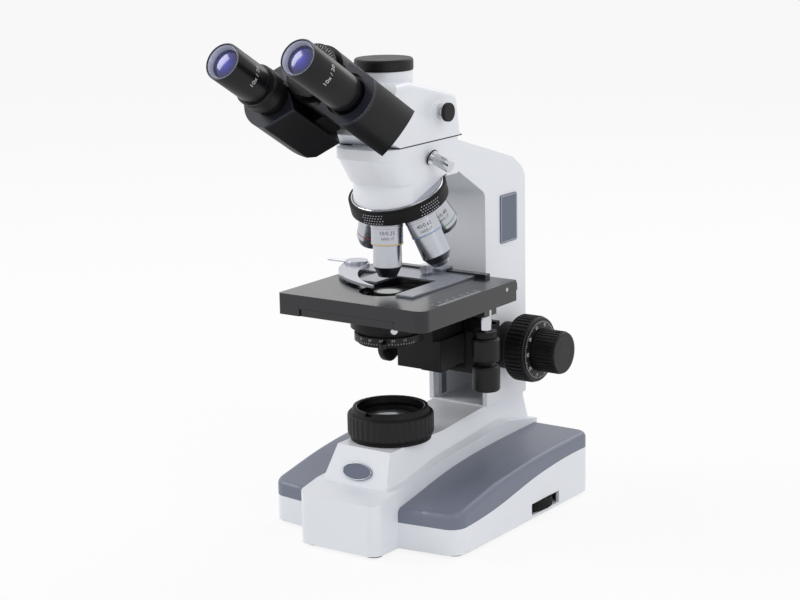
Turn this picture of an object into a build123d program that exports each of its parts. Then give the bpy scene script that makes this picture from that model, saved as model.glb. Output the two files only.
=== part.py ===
from build123d import *
import math
import os

# Compound trinocular microscope in millimetres: +Z up, +Y away from the user,
# origin on the bench plane below the objective in use.

# Base
FOOT = 2.5
WALL = 3.0
WING_X = 92.0
WING_FRONT = -41.5
REAR_Y = 165.0
BLOCK_FRONT = -78.0
BLOCK_X = 38.0
SPINE_X = 31.0
SPINE_TOP_X = 26.0
SPINE_TOP = 76.6
ARM_FOOT = 81.5
COVER_Z = 4.5

# Illuminator on the spine
FIELD_RING_R = 34.5
FIELD_RING_TOP = 98.7
FIELD_TUBE_R = 30.0
FIELD_HOLE_R = 23.5

# Arm
ARM_X = 29.2
COLUMN_FRONT = 100.0
COLUMN_BACK = 163.0
ARM_TOP = 318.0
CAVITY_X = 25.0
NOSE_FRONT = -39.0
NOSE_CORNER = 20.0
DOVETAIL_R = 24.0

# Revolving nosepiece: its pivot axis and the objective axes meet at the apex
APEX_Z = 320.0
TILT = 20.0
PORTS = 5
SEAT = 66.0
RING_TOP = 43.6
RING_R = 40.0
RING_BAND = 11.5
OBJECTIVE_R = 12.85
THREAD_R = 10.0

# Head and swinging eyepiece tubes, measured down the tubes from the rims
TUBE_TILT = 30.0
HUB_Y = -148.19
HUB_Z = 417.21
TUBE_ARM = 38.79
SWING_RIGHT = 24.5
SWING_LEFT = 35.86
HEAD_X = 29.5
HEAD_FACE = 132.5
PLATE_AT = 65.5
HOUSING_AT = 68.5
HOUSING_END = 131.5
HOUSING_V = 21.0
HOUSING_R = 25.0
HOUSING_IN = 24.3
LUG_R = 23.8
POST_R = 13.0
BARREL_R = 14.8
INSERT_R = 11.6
HEAD_TOP = 369.0
PORT_R = 22.8
PORT_BORE_R = 19.0
PORT_RISE = 7.5
PORT_TOP = HEAD_TOP + PORT_RISE
CAP_RISE = 8.9

# Focus drive
DRIVE_Y = 130.0
DRIVE_Z = 129.7
COARSE_R = 27.5
FINE_R = 17.5
PINION_R = 5.95
FOCUS_RISE = 5.1

# Stage
STAGE_X = 70.0
STAGE_FRONT = -53.6
STAGE_BACK = 82.3
STAGE_TOP = 199.6
STAGE_SKIRT = 182.3
LOWER_Z = 188.0
CARRIER_TOP = LOWER_Z - 3.1
WINDOW_TOP = CARRIER_TOP + FOCUS_RISE
KNOB_X = 55.0
KNOB_Y = 59.0
SLOT_BACK = 33.0
RAIL_TOP = 202.8

# Condenser
RING_HOLD_R = 31.0
CONDENSER_R = 25.0
CONDENSER_TOP = 198.4
CELL_R = 11.5
CELL_Z = 193.2
RUN = 0.06


def block(x0, x1, y0, y1, z0, z1):
    """Box between two corners."""
    size = Box(x1 - x0, y1 - y0, z1 - z0)
    return Pos((x0 + x1) / 2, (y0 + y1) / 2, (z0 + z1) / 2) * size


def disc(radius, z0, z1, x=0.0, y=0.0):
    """Upright round bar."""
    return Pos(x, y, (z0 + z1) / 2) * Cylinder(radius, z1 - z0)


def ring(outer, inner, z0, z1, x=0.0, y=0.0):
    """Upright round ring."""
    return disc(outer, z0, z1, x, y) - disc(inner, z0 - 1, z1 + 1, x, y)


def turned(profile):
    """Solid of revolution about Z from (radius, height) points."""
    face = Plane.XZ * make_face(Polyline(*profile, close=True))
    return revolve(face, Axis.Z)


def cross_bar(radius, x0, x1, y, z):
    """Round bar along X."""
    return Pos((x0 + x1) / 2, y, z) * Rot(0, 90, 0) * Cylinder(radius, x1 - x0)


def slab(points, half_width):
    """Side profile of (y, z) points, as thick as two half widths across X."""
    face = Plane.YZ * make_face(Polyline(*points, close=True))
    return extrude(face, half_width, both=True)


def upright(part, radius):
    """Rounds the upright edges of a part."""
    return fillet(part.edges().filter_by(Axis.Z), radius)


def tilted(degrees):
    """Unit vector in the YZ plane, turned from straight down towards +Y."""
    angle = math.radians(degrees)
    return Vector(0, math.sin(angle), -math.cos(angle))


def pivot_frame():
    """Frame on the apex whose Z runs down the nosepiece's pivot axis."""
    return Location(Plane((0, 0, APEX_Z), (1, 0, 0), tilted(TILT)))


def port_turn(index):
    """Turn from the pivot axis to one port: port 0 is the one in use."""
    return Rot(0, 0, -360 / PORTS * index) * Rot(-TILT, 0, 0)


def port_frame(index):
    """Frame on the apex whose Z runs down one objective's axis."""
    return pivot_frame() * port_turn(index)


def tube_frame(side):
    """Frame on the hub axis: X towards the tube axis, Z down the tubes."""
    down = tilted(90 - TUBE_TILT)
    swing = math.radians(SWING_RIGHT if side > 0 else SWING_LEFT)
    lift = Vector(0, math.sin(math.radians(TUBE_TILT)), math.cos(math.radians(TUBE_TILT)))
    arm = Vector(side * math.cos(swing), 0, 0) - lift * math.sin(swing)
    return Location(Plane((0, HUB_Y, HUB_Z), arm, down))


def base_plan(inset):
    """Footprint of the base: a front block between two wings."""
    x = WING_X
    points = [
        (-BLOCK_X, BLOCK_FRONT),
        (BLOCK_X, BLOCK_FRONT),
        (BLOCK_X + 1, -48),
        (x, WING_FRONT),
        (x, REAR_Y),
        (-x, REAR_Y),
        (-x, WING_FRONT),
        (-BLOCK_X - 1, -48),
    ]
    face = make_face(Polyline(*points, close=True))
    corners = face.vertices()
    wing = corners.filter_by(lambda v: abs(v.X) > 80 and v.Y < 0)
    face = fillet(wing, 14)
    rear = face.vertices().filter_by(lambda v: v.Y > REAR_Y - 1)
    face = fillet(rear, 10)
    front = face.vertices().filter_by(lambda v: v.Y < BLOCK_FRONT + 1)
    face = fillet(front, 9)
    return offset(face, -inset, kind=Kind.INTERSECTION) if inset else face


def seam_curve(drop):
    """Line where the wing caps meet the base, seen from the side."""
    points = [(-60, 24.2), (-15, 24.7), (21, 28.2), (68, 36), (105, 40), (170, 41)]
    return Spline(*[(y, z - drop) for y, z in points])


def under_seam(drop):
    """Everything below the seam line."""
    top = seam_curve(drop)
    start, end = top @ 0, top @ 1
    sides = Polyline(end, (end.X, FOOT - 2), (start.X, FOOT - 2), start)
    return extrude(Plane.YZ * make_face([top, sides]), WING_X + 5, both=True)


def ledge_form(inset):
    """Middle block with the sloping shoulder beside the spine."""
    front, back = BLOCK_FRONT + inset, REAR_Y - inset
    points = [
        (front, FOOT - 1),
        (front, 44.3 - inset),
        (-50, 49 - inset),
        (-29, 50.5 - inset),
        (21, 59 - inset),
        (87, 64 - inset),
        (121, 66 - inset),
        (back, 58 - inset),
        (back, FOOT - 1),
    ]
    return slab(points, BLOCK_X + 1 - inset)


def spine_form(inset):
    """Raised spine that carries the illuminator and the arm."""
    points = [
        (-52 + inset, 40),
        (-52 + inset, 49),
        (-38 + inset, SPINE_TOP - inset),
        (38, SPINE_TOP - inset),
        (COLUMN_FRONT, ARM_FOOT - inset),
        (COLUMN_BACK - inset, ARM_FOOT - inset),
        (REAR_Y - inset, 58),
        (REAR_Y - inset, 40),
    ]
    wide, narrow = SPINE_X - inset, SPINE_TOP_X - inset
    section = [(-wide, 40), (wide, 40), (wide, 51), (narrow, 76), (narrow, 84), (-narrow, 84), (-narrow, 76), (-wide, 51)]
    across = extrude(Plane.XZ * make_face(Polyline(*section, close=True)), 200, both=True)
    return slab(points, SPINE_X) & across


def base_casting():
    footprint = extrude(base_plan(0), 80) & block(-99, 99, -99, 199, FOOT, 99)
    outer = (footprint & under_seam(0)) + (footprint & ledge_form(0))
    outer += spine_form(0)
    cavity = extrude(base_plan(WALL), 80)
    inner = (cavity & under_seam(WALL)) + (cavity & ledge_form(WALL)) + (cavity & spine_form(WALL))
    shell = outer - inner
    shell -= disc(FIELD_HOLE_R, 60, 90)
    shell -= block(86, 99, 69, 113, 5, 15)
    shell -= block(-64, -36, 160, 170, 12, 33)
    shell -= block(36, 54, 160, 170, 12, 33)
    return shell


def wing_cap(side):
    """Coloured cover over one wing, hollow below."""
    top = Spline((-60, 33.5), (-20, 40), (14, 46.3), (60, 51.5), (105, 53.8), (170, 55))
    bottom = seam_curve(0)
    ends = [Line(bottom @ 1, top @ 1), Line(top @ 0, bottom @ 0)]
    form = extrude(Plane.YZ * make_face([bottom, ends[0], top, ends[1]]), WING_X + 5, both=True)
    wing = block(BLOCK_X + 1.2, 99, -60, 199, 0, 90)
    cap = extrude(base_plan(0), 80) & form & wing
    rim = cap.faces().sort_by(Axis.Z)[-1].edges().filter_by(lambda e: e.center().X > BLOCK_X + 2)
    cap = fillet(rim, 5)
    hollow = extrude(base_plan(WALL), 80) & block(BLOCK_X + 4, 99, -60, 199, 0, 90)
    lowered = Pos(0, 0, -WALL) * form
    cap -= hollow & lowered
    return cap if side > 0 else mirror(cap, Plane.YZ)


def bottom_cover():
    plate = extrude(base_plan(WALL + 0.2), COVER_Z - FOOT)
    plate = Pos(0, 0, FOOT) * plate
    for x, y in foot_places():
        plate -= disc(3, 0, 9, x, y)
    return plate


def foot_places():
    return [(80, -29), (-80, -29), (80, 150), (-80, 150), (28, -66), (-28, -66)]


def rubber_feet():
    feet = [disc(7, 0, FOOT, x, y) + disc(2.9, FOOT, COVER_Z, x, y) for x, y in foot_places()]
    return Compound(children=feet)


def nose_section(front, z):
    """Plan of the arm's nose at one height."""
    face = Pos(0, (front + 60) / 2, z) * Rectangle(2 * ARM_X, 60 - front)
    corners = face.vertices().filter_by(lambda v: v.Y < front + 1)
    return fillet(corners, NOSE_CORNER)


def arm_profile():
    """Column and upper arm from the side."""
    points = [
        (COLUMN_FRONT, ARM_FOOT),
        (COLUMN_BACK, ARM_FOOT),
        (COLUMN_BACK, 276),
        (143.5, 289.6),
        (50, ARM_TOP),
        (0, ARM_TOP),
        (0, 303),
        (38, 303),
        (56, 292),
        (COLUMN_FRONT, 265),
    ]
    face = make_face(Polyline(*points, close=True))
    heel = face.vertices().filter_by(lambda v: v.X > 140 and v.Y > 270)
    face = fillet(heel, 18)
    throat = face.vertices().filter_by(lambda v: abs(v.X - COLUMN_FRONT) < 0.1 and v.Y > 200)
    return fillet(throat, 9)


def arm_casting():
    arm = extrude(Plane.YZ * arm_profile(), ARM_X, both=True)
    arm += extrude(nose_section(NOSE_FRONT, 309.5), ARM_TOP - 309.5)
    arm += loft([nose_section(-21.5, 288), nose_section(NOSE_FRONT + 1.5, 309.5)])
    low = Pos(0, 14.9, 262) * Ellipse(36, 33.8)
    arm += extrude(low, 26.5) & block(-ARM_X, ARM_X, -60, 90, 200, 400)
    arm -= pivot_frame() * disc(41.5, 42.5, 90)
    arm -= block(-CAVITY_X, CAVITY_X, COLUMN_FRONT - 9, 159, ARM_FOOT + 1, WINDOW_TOP)
    arm -= block(-CAVITY_X, CAVITY_X, COLUMN_FRONT + 4, 159, 81, 255)
    arm -= disc(DOVETAIL_R + RUN, 310.6, 320)
    arm -= disc(9, 240, 320)
    arm -= cross_bar(12, -40, 40, DRIVE_Y, DRIVE_Z)
    arm -= clamp_frame() * disc(2.8, -20, 2)
    return arm


def badge_oval():
    """Bare oval plate on the sloping front of the spine."""
    run, rise = 14.0, SPINE_TOP - 49
    middle = Plane((0, -52 + run * 0.37, 49 + rise * 0.37), (1, 0, 0), (0, -rise, run))
    return middle.location * extrude(Ellipse(14.0, 7.0), 1.4)


def arm_plate():
    """Bare plate on the right side of the column."""
    plate = block(ARM_X, ARM_X + 1, 122.7, 148.5, 218.2, 259.2)
    return fillet(plate.edges().filter_by(Axis.X), 2)


def guide_rails():
    """Pair of upright rails that the focus carrier runs on."""
    rails = [block(22.3, CAVITY_X, 108, 116, 84, 188), block(-CAVITY_X, -22.3, 108, 116, 84, 188)]
    return Compound(children=rails)


def focus_bushes():
    """Bearings of the focus shaft: a wide tension collar right, a narrow one left."""
    right = cross_bar(20, ARM_X, 43.2, DRIVE_Y, DRIVE_Z) + cross_bar(11.95, CAVITY_X, ARM_X, DRIVE_Y, DRIVE_Z)
    left = cross_bar(20, -34.7, -ARM_X, DRIVE_Y, DRIVE_Z) + cross_bar(11.95, -ARM_X, -CAVITY_X, DRIVE_Y, DRIVE_Z)
    bore = cross_bar(5 + RUN, -60, 60, DRIVE_Y, DRIVE_Z)
    return Compound(children=[right - bore, left - bore])


def lamp_holder():
    """Plate and post inside the base that carry the lamp behind the collector."""
    return block(-12, 12, 84, 92, COVER_Z, 44) + block(-16, 16, 76, 96, COVER_Z, COVER_Z + 3)


def lamp_bulb():
    bulb = Pos(0, 76, 34) * Rot(90, 0, 0) * Cylinder(5, 16)
    return bulb + Pos(0, 68, 34) * Sphere(5)


def collector_lens():
    """Condensing lens in its round holder, standing on the cover."""
    lens = Pos(0, 44, 34) * Rot(90, 0, 0) * Cylinder(13, 8)
    return lens + block(-8, 8, 41, 47, COVER_Z, 24)


def base_mirror():
    """Mirror below the field lens, on a wedge foot."""
    wedge = [(-18, COVER_Z), (18, COVER_Z), (18, 18), (-18, 52)]
    return slab([(y, z) for y, z in wedge], 15)


def illuminator_mount():
    """Fixed tube and flange that hold the field lens on the spine."""
    tube = ring(FIELD_TUBE_R, 25, SPINE_TOP, 96)
    spigot = ring(FIELD_HOLE_R - RUN, 20, 68, SPINE_TOP + 0.5)
    return tube + spigot + ring(33, 20, SPINE_TOP, 79) + ring(26, 22, SPINE_TOP, 88)


def field_lens():
    return disc(24.9, 88, 93) + turned([(0, 93), (24.9, 93), (18, 95.6), (0, 96.6)])


def field_ring():
    """Knurled ring round the field lens with a conical rim."""
    inner = FIELD_TUBE_R + RUN
    points = [
        (inner, 79.4),
        (33.6, 79.4),
        (FIELD_RING_R, 80.4),
        (FIELD_RING_R, FIELD_RING_TOP - 1),
        (33.8, FIELD_RING_TOP),
        (32.2, FIELD_RING_TOP),
        (30.4, 103.4),
        (28.2, 103.4),
        (28.2, 97),
        (inner, 97),
    ]
    return turned(points) - block(-3, 3, -40, -27, 100.6, 105)


def dimmer_wheel():
    wheel = disc(24, 6, 14, 70.5, 91)
    return wheel - disc(3 + RUN, 0, 20, 70.5, 91)


def dimmer_post():
    return disc(3, COVER_Z, 18, 70.5, 91) + disc(8, COVER_Z, 5.9, 70.5, 91)


def circuit_board():
    """Lamp driver board on the cover, with the post of the dimmer wheel."""
    board = block(8, 42, 104, 150, COVER_Z, 7)
    parts = board + block(12, 24, 118, 138, 7, 22) + block(29, 38, 120, 134, 7, 14)
    return Compound(children=[parts, dimmer_post()])


def power_inlet():
    """Rear module: inlet with three contact pins, and the frame of the switch."""
    body = block(-64 + RUN, -36 - RUN, 143, REAR_Y, 12 + RUN, 33 - RUN)
    body += block(-67, -33, REAR_Y, REAR_Y + 1.2, 10, 35)
    body -= block(-61, -39, 150, 170, 15, 30)
    for x, z in ((-55, 21), (-50, 25), (-45, 21)):
        body += block(x - 1, x + 1, 149, 163, z - 1.5, z + 1.5)
    return body + switch_frame()


def rocker_switch():
    rocker = slab([(160, 12.6), (160, 32.4), (167, 31), (165.6, 22.5), (167, 14)], 6.6)
    return Pos(45, 0, 0) * rocker + cross_bar(1.5, 37.2, 52.8, 162.5, 22.5)


def switch_frame():
    """Frame round the rocker, joined to the inlet by their common face."""
    frame = block(-40, 56, REAR_Y, REAR_Y + 1.2, 10, 35)
    frame += block(36 + RUN, 54 - RUN, 152, REAR_Y, 12 + RUN, 33 - RUN)
    frame -= block(38.2, 51.8, 156, 170, 12.2, 32.8)
    return frame - cross_bar(1.5 + RUN, 37, 53, 162.5, 22.5)


def clamp_frame():
    """Frame of the screw that holds the head: Z runs out of the arm's side."""
    slope = math.radians(21.4)
    out = Vector(math.cos(slope), 0, -math.sin(slope))
    return Location(Plane((ARM_X, 18.2, 307.9), (0, 1, 0), out))


def head_clamp_screw():
    """Washer, stem and fluted head of the clamp screw."""
    knob = disc(4.8, 7, 21.7)
    for turn in range(8):
        knob -= Rot(0, 0, 45 * turn) * disc(0.9, 6, 17, 4.9, 0)
    stem = disc(2.74, -7.5, 7)
    washer = disc(6.2, 2.6, 4.2)
    return clamp_frame() * (knob + stem + washer)


def nosepiece_mount():
    """Fixed bearing plate and pivot pin of the revolving nosepiece."""
    plate = disc(36, 42.5, 45)
    pin = disc(5, 45, 58) + disc(8, 57.5, 59)
    form = pivot_frame() * (plate + pin)
    return form - disc(9, 240, 320)


def nosepiece_turret():
    """Knurled ring, port plate and seats of the revolving nosepiece."""
    bottom = RING_TOP + RING_BAND
    points = [
        (0, 45.4),
        (36.6, 45.4),
        (36.6, RING_TOP),
        (RING_R - 0.8, RING_TOP),
        (RING_R, RING_TOP + 0.8),
        (RING_R, bottom - 0.8),
        (RING_R - 0.8, bottom),
        (33, bottom + 3),
        (0, bottom + 3),
    ]
    form = turned(points)
    for index in range(PORTS):
        form += port_turn(index) * disc(13.2, 54, SEAT)
    for index in range(PORTS):
        form -= port_turn(index) * disc(THREAD_R + RUN, 53, SEAT + 9)
        form -= port_turn(index) * disc(8, 40, SEAT)
    form -= disc(5 + RUN, 40, 80)
    form -= disc(8.4, 57.1, 80)
    return pivot_frame() * form


def objective(index, steps, tip):
    """Objective in one port: steps are (radius, lower end) down from the seat."""
    points = [(3, -8), (THREAD_R, -8), (THREAD_R, 0)]
    for radius, end in steps:
        points += [(radius, points[-1][1]), (radius, end)]
    points += [tip, (3, tip[1])]
    return port_frame(index) * Pos(0, 0, SEAT) * turned(points)


def objective_10x():
    return objective(0, [(OBJECTIVE_R, 16.8), (11.5, 34.7)], (7.4, 43.2))


def objective_40x():
    return objective(1, [(OBJECTIVE_R, 15.2), (12.1, 34)], (6.2, 43.4))


def objective_20x():
    return objective(2, [(OBJECTIVE_R, 26.0)], (9.5, 31))


def port_plug():
    """Cap that closes the port without an objective."""
    plug = disc(THREAD_R, -8, 0) + disc(12.5, 0, 3)
    return port_frame(3) * Pos(0, 0, SEAT) * plug


def objective_4x():
    return objective(4, [(12.4, 24)], (9.6, 30.5))


def head_profile(inset):
    """Side outline of the head, with the sloping face for the tubes."""
    points = [
        (-22, 319),
        (66.5, 319),
        (60.5, 351.5),
        (51, 355),
        (-5, HEAD_TOP),
        (-23.32, HEAD_TOP - 0.5),
        (-45.48, 330.1),
    ]
    face = make_face(Polyline(*points, close=True))
    if inset:
        return offset(face, -inset, kind=Kind.INTERSECTION)
    top = face.vertices().filter_by(lambda v: v.Y > 350 and v.X > -10)
    return fillet(top, 4)


def head_casting():
    head = extrude(Plane.YZ * head_profile(0), HEAD_X, both=True)
    sides = head.faces().filter_by(lambda f: abs(f.center().X) > HEAD_X - 0.1)
    upper = [e for f in sides for e in f.edges() if e.center().Z > 325 and e.center().Y > -30]
    head = fillet(upper, 5)
    head += disc(PORT_R, HEAD_TOP - 24, PORT_TOP)
    head -= extrude(Plane.YZ * head_profile(4), HEAD_X - 4, both=True)
    head += disc(27, ARM_TOP + RUN, 319) + disc(DOVETAIL_R, 311, 319)
    head -= disc(18, 300, 330)
    head -= disc(PORT_BORE_R, HEAD_TOP - 29, PORT_TOP + 24)
    head -= head_bore() * disc(11, 90, 160)
    head -= cross_bar(3 + RUN, 10, 60, 30.5, 341.5)
    return head + beam_boss()


def head_bore():
    """Frame on the hub axis, Z down the tubes."""
    return Location(Plane((0, HUB_Y, HUB_Z), (1, 0, 0), tilted(90 - TUBE_TILT)))


def beam_boss():
    return cross_bar(6.8, HEAD_X, HEAD_X + 3, 30.5, 341.5) - cross_bar(3 + RUN, 20, 60, 30.5, 341.5)


def beam_rod():
    """Pull rod with its knob that slides the beam prism."""
    return cross_bar(3, 11, 38, 30.5, 341.5) + cross_bar(7.3, 38, 41.5, 30.5, 341.5)


def beam_prism():
    """Sliding prism over the light path, on a carrier for the pull rod."""
    prism = slab([(-14, 324), (16, 324), (16, 346), (-14, 346)], 11)
    lug = block(-11, 11, 16, 36, 336, 346)
    return prism + lug


def interpupillary_hub():
    """Fixed post and round scale disc that both tubes swing about."""
    post = disc(POST_R, 64, HEAD_FACE - 0.04) - disc(9, 68, HEAD_FACE + 1)
    face = disc(21.3, 62, 64.5)
    return head_bore() * (post + face)


def housing_plan(inset):
    """Outline of a tube housing across its tube."""
    near = HOUSING_IN + inset
    half = HOUSING_V - inset
    radius = HOUSING_R - inset
    reach = TUBE_ARM + math.sqrt(radius * radius - half * half)
    tip = TUBE_ARM + radius
    arc = ThreePointArc((reach, -half), (tip, 0), (reach, half))
    rest = Polyline((reach, half), (near, half), (near, -half), (reach, -half))
    return make_face([arc, rest])


def chamfer_side(inset):
    """Space behind the slanting prism face of a housing."""
    edge = 178.5 - 1.42 * inset
    points = [(edge - 140, 140), (edge - 100, 100), (99, 100), (99, 140)]
    return extrude(Plane.XZ * make_face(Polyline(*points, close=True)), 40, both=True)


def tube_housing(side, lug_at, bore):
    """Prism housing with its hinge lug and the tube for the eyepiece."""
    shell = Pos(0, 0, HOUSING_AT) * extrude(housing_plan(0), HOUSING_END - HOUSING_AT)
    shell -= chamfer_side(0)
    hollow = Pos(0, 0, HOUSING_AT + 2.5) * extrude(housing_plan(2.5), HOUSING_END - HOUSING_AT - 5)
    shell -= hollow - chamfer_side(2.5)
    lug = disc(LUG_R, lug_at, lug_at + 25) + block(0, HOUSING_IN + 1, -17, 17, lug_at, lug_at + 25)
    lug -= disc(POST_R + RUN, 60, 140)
    lug -= block(9.5, HOUSING_IN + 1, -8, 8, lug_at + 4, lug_at + 21) - disc(POST_R + 3, 60, 140)
    shell += lug
    shell -= block(HOUSING_IN - 1, HOUSING_IN + 4, -8, 8, lug_at + 4, lug_at + 21)
    shell += disc(bore + 2.2, HOUSING_AT, 93, TUBE_ARM, 0)
    shell -= disc(bore + RUN, 60, 91, TUBE_ARM, 0)
    shell -= disc(bore - 2, 60, 94, TUBE_ARM, 0)
    return tube_frame(side) * shell


def face_plate(side, bore):
    """Coloured plate on the upper end of a housing."""
    plate = Pos(0, 0, PLATE_AT) * extrude(housing_plan(0), HOUSING_AT - PLATE_AT)
    plate -= disc(bore, 60, 70, TUBE_ARM, 0)
    return tube_frame(side) * plate


def tube_prism(side):
    """Rhomboid prism, seated on the housing's slanting wall."""
    prism = Pos(0, 0, 96) * extrude(housing_plan(2.5), HOUSING_END - 2.5 - 96)
    prism -= chamfer_side(2.5)
    return tube_frame(side) * prism


def right_tube_housing():
    return tube_housing(1, 70.0, BARREL_R)


def right_prism():
    return tube_prism(1)


def right_face_plate():
    return face_plate(1, BARREL_R + 2.2)


def left_neck():
    """Neck of the left tube that the diopter ring turns on."""
    neck = disc(13.5, 49.4, 57.2) + disc(15, 57.2, HOUSING_AT + 1)
    return Pos(TUBE_ARM, 0, 0) * (neck - disc(INSERT_R + RUN, 40, 80))


def left_tube_housing():
    housing = tube_housing(-1, 97.0, INSERT_R)
    return housing + tube_frame(-1) * left_neck()


def left_prism():
    return tube_prism(-1)


def left_face_plate():
    return face_plate(-1, 15.1)


def eyepiece_right():
    """Straight barrel with the eye lens mount at its rim."""
    points = [(10, 0), (14.2, 0), (BARREL_R, 0.8), (BARREL_R, 90.9), (13.2, 90.9), (13.2, 8), (11, 6.5), (11, 2)]
    return tube_frame(1) * Pos(TUBE_ARM, 0, 0) * turned(points)


def eye_lens():
    """Eye lens, a little below the rim."""
    return turned([(0, 1.2), (11, 2.4), (11, 6.4), (0, 6.4)])


def eyepiece_right_lens():
    return tube_frame(1) * Pos(TUBE_ARM, 0, 0) * eye_lens()


def eyepiece_left():
    """Barrel that narrows inside the diopter ring."""
    points = [
        (10, 0),
        (14.2, 0),
        (BARREL_R, 0.8),
        (BARREL_R, 46.2),
        (INSERT_R, 46.2),
        (INSERT_R, 84),
        (10, 84),
        (10, 40),
        (13.2, 36),
        (13.2, 8),
        (11, 6.5),
        (11, 2),
    ]
    return tube_frame(-1) * Pos(TUBE_ARM, 0, 0) * turned(points)


def eyepiece_left_lens():
    return tube_frame(-1) * Pos(TUBE_ARM, 0, 0) * eye_lens()


def diopter_ring():
    """Ring whose turn raises and lowers the left eyepiece."""
    outer = 16.75
    points = [
        (BARREL_R + 0.3, 42.6),
        (outer, 42.6),
        (outer, 44.4),
        (16.1, 45.2),
        (outer, 46),
        (outer, 56.9),
        (13.5 + RUN, 56.9),
        (13.5 + RUN, 49.1),
        (BARREL_R + 0.3, 49.1),
    ]
    return tube_frame(-1) * Pos(TUBE_ARM, 0, 0) * turned(points)


def photo_port_cap():
    """Dust cap on the camera port with a spigot into its bore."""
    rim, lid = PORT_R + 0.4, PORT_TOP + CAP_RISE
    spigot, foot = PORT_BORE_R - 0.1, PORT_TOP - 5.5
    points = [
        (0, PORT_TOP),
        (0, lid),
        (rim - 0.8, lid),
        (rim, lid - 0.8),
        (rim, PORT_TOP),
        (spigot, PORT_TOP),
        (spigot, foot),
        (spigot - 1.9, foot),
        (spigot - 1.9, PORT_TOP),
    ]
    return turned(points)


def focus_carrier():
    """Upright slide inside the column with the bracket for the stage."""
    slide = block(-24.6, 24.6, 103, 121, 108, CARRIER_TOP)
    for side in (-1, 1):
        near, far = sorted((side * (22.3 - RUN), side * 26))
        slide -= block(near, far, 108 - RUN, 116 + RUN, 100, 190)
    bracket = block(-20, 20, 82, 103, 118, CARRIER_TOP)
    bar = block(-10, 10, 60, 82, 118, 176)
    shelf = block(-34, 34, 56, 99, STAGE_SKIRT, LOWER_Z) + block(-34, 34, 84, 99, 172, STAGE_SKIRT)
    arm = block(18, 50, 82.5, 88, 150, 162) + disc(9, 154.6, 160, KNOB_X, KNOB_Y)
    arm += block(44, 50, KNOB_Y, 88, 154.6, 160)
    arm -= disc(4.5 + RUN, 140, 170, KNOB_X, KNOB_Y)
    return slide + bracket + bar + shelf + arm


def focus_rack():
    """Rack on the back of the focus carrier that the pinion drives."""
    return block(-5, 5, 121, DRIVE_Y - PINION_R - RUN, 112, 182)


def stage_lower_plate():
    """Fixed lower plate of the stage with the bearing block of its drive."""
    plate = block(-63, 63, -33, 95, LOWER_Z, 194.3)
    plate -= disc(24, 180, 200)
    hanger = block(44, 59.6, 50, 68, 173, LOWER_Z)
    hanger -= disc(4.5 + RUN, 170, 182.5, KNOB_X, KNOB_Y)
    hanger -= disc(5.9, 182.5, LOWER_Z, KNOB_X, KNOB_Y)
    return plate + hanger


def stage_upper_plate():
    """Upper plate with its skirt, opening, drive rack and rear rail."""
    top = block(-STAGE_X, STAGE_X, STAGE_FRONT, STAGE_BACK, STAGE_SKIRT, STAGE_TOP)
    corner = top.edges().filter_by(Axis.Z).filter_by(lambda e: e.center().X > 0 and e.center().Y < 0)
    top = fillet(corner, 9)
    corner = top.edges().filter_by(Axis.Z).filter_by(lambda e: e.center().X < 0 and e.center().Y < 0)
    top = fillet(corner, 2)
    top -= block(-66.8, 66.8, STAGE_FRONT + 4, 99, 170, 194.6)
    top -= block(-49.7, 42.3, -60, STAGE_FRONT + 1.2, 170, 188.6)
    slot = disc(20, 180, 210, 0, -6) + disc(20, 180, 210, 0, SLOT_BACK) + block(-20, 20, -6, SLOT_BACK, 180, 210)
    top -= slot
    rack = block(60.5, 67, -48, STAGE_BACK, 183.4, 187.6)
    rail = block(-58, 46, 73, 80, STAGE_TOP, RAIL_TOP)
    return Compound(children=[top + rack, rail])


def slide_holder():
    """Forked slide rest that runs along the rear rail."""
    z0, z1 = STAGE_TOP + 0.15, 201.4
    rest = block(-40, 36, 40, 72.6, z0, z1)
    rest += block(20, 36, -18, 40, z0, z1) + block(-40, -20, 12, 40, z0, z1)
    hook = RAIL_TOP + 0.4
    rest += block(-12, 8, 66, 72.6, z1, hook + 1.6) + block(-12, 8, 66, 82.6, hook, hook + 1.6)
    rest += block(-12, 8, 80.6, 82.6, 200.4, hook + 1.6)
    rest += block(-78, -40, 46, 62, z0, z1)
    screw = disc(2, z1, 206, -2, 58) + disc(5, 202.8, 209.3, -2, 58)
    rest += disc(3, z1, 204.6, -70, 54)
    return Compound(children=[rest + screw])


def clip_finger():
    """Sickle-shaped sprung finger with its lever, on the slide rest's pivot."""
    z0, z1 = 201.7, 204.3
    hub = disc(11, z0, z1, -70, 54)
    outer = ThreePointArc((-80, 50), (-52, 8), (-6, -11))
    inner = ThreePointArc((-6, -11), (-40, 14), (-59, 54))
    sickle = make_face([outer, inner, Line((-59, 54), (-80, 50))])
    finger = hub + Pos(0, 0, z0) * extrude(sickle, z1 - z0)
    finger += disc(9.5, z1, 206.8, -70, 54)
    lever = Pos(-84.7, 50, 205.6) * Rot(0, 90, -15) * Cylinder(1.2, 24)
    finger += lever
    return finger - disc(3 + RUN, 200, 204.7, -70, 54)


def knurled_knob(radius, z0, z1, bore):
    knob = turned([(bore, z0), (radius - 0.8, z0), (radius, z0 + 0.8), (radius, z1 - 0.8), (radius - 0.8, z1), (bore, z1)])
    return Pos(KNOB_X, KNOB_Y, 0) * knob


def stage_y_knob():
    """Upper drive knob on a tube with the pinion of the Y travel."""
    tube = ring(4.5, 2.5 + RUN, 154, 187.7, KNOB_X, KNOB_Y)
    pinion = ring(5.4, 2.5 + RUN, 183.2, 187.5, KNOB_X, KNOB_Y)
    return knurled_knob(11, 135, 154.2, 2.5 + RUN) + tube + pinion


def stage_x_knob():
    """Lower drive knob on the inner spindle of the X travel."""
    return knurled_knob(11, 110, 131, 0) + disc(4, 131, 134.6, KNOB_X, KNOB_Y) + disc(2.5, 131, 187.7, KNOB_X, KNOB_Y)


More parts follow.
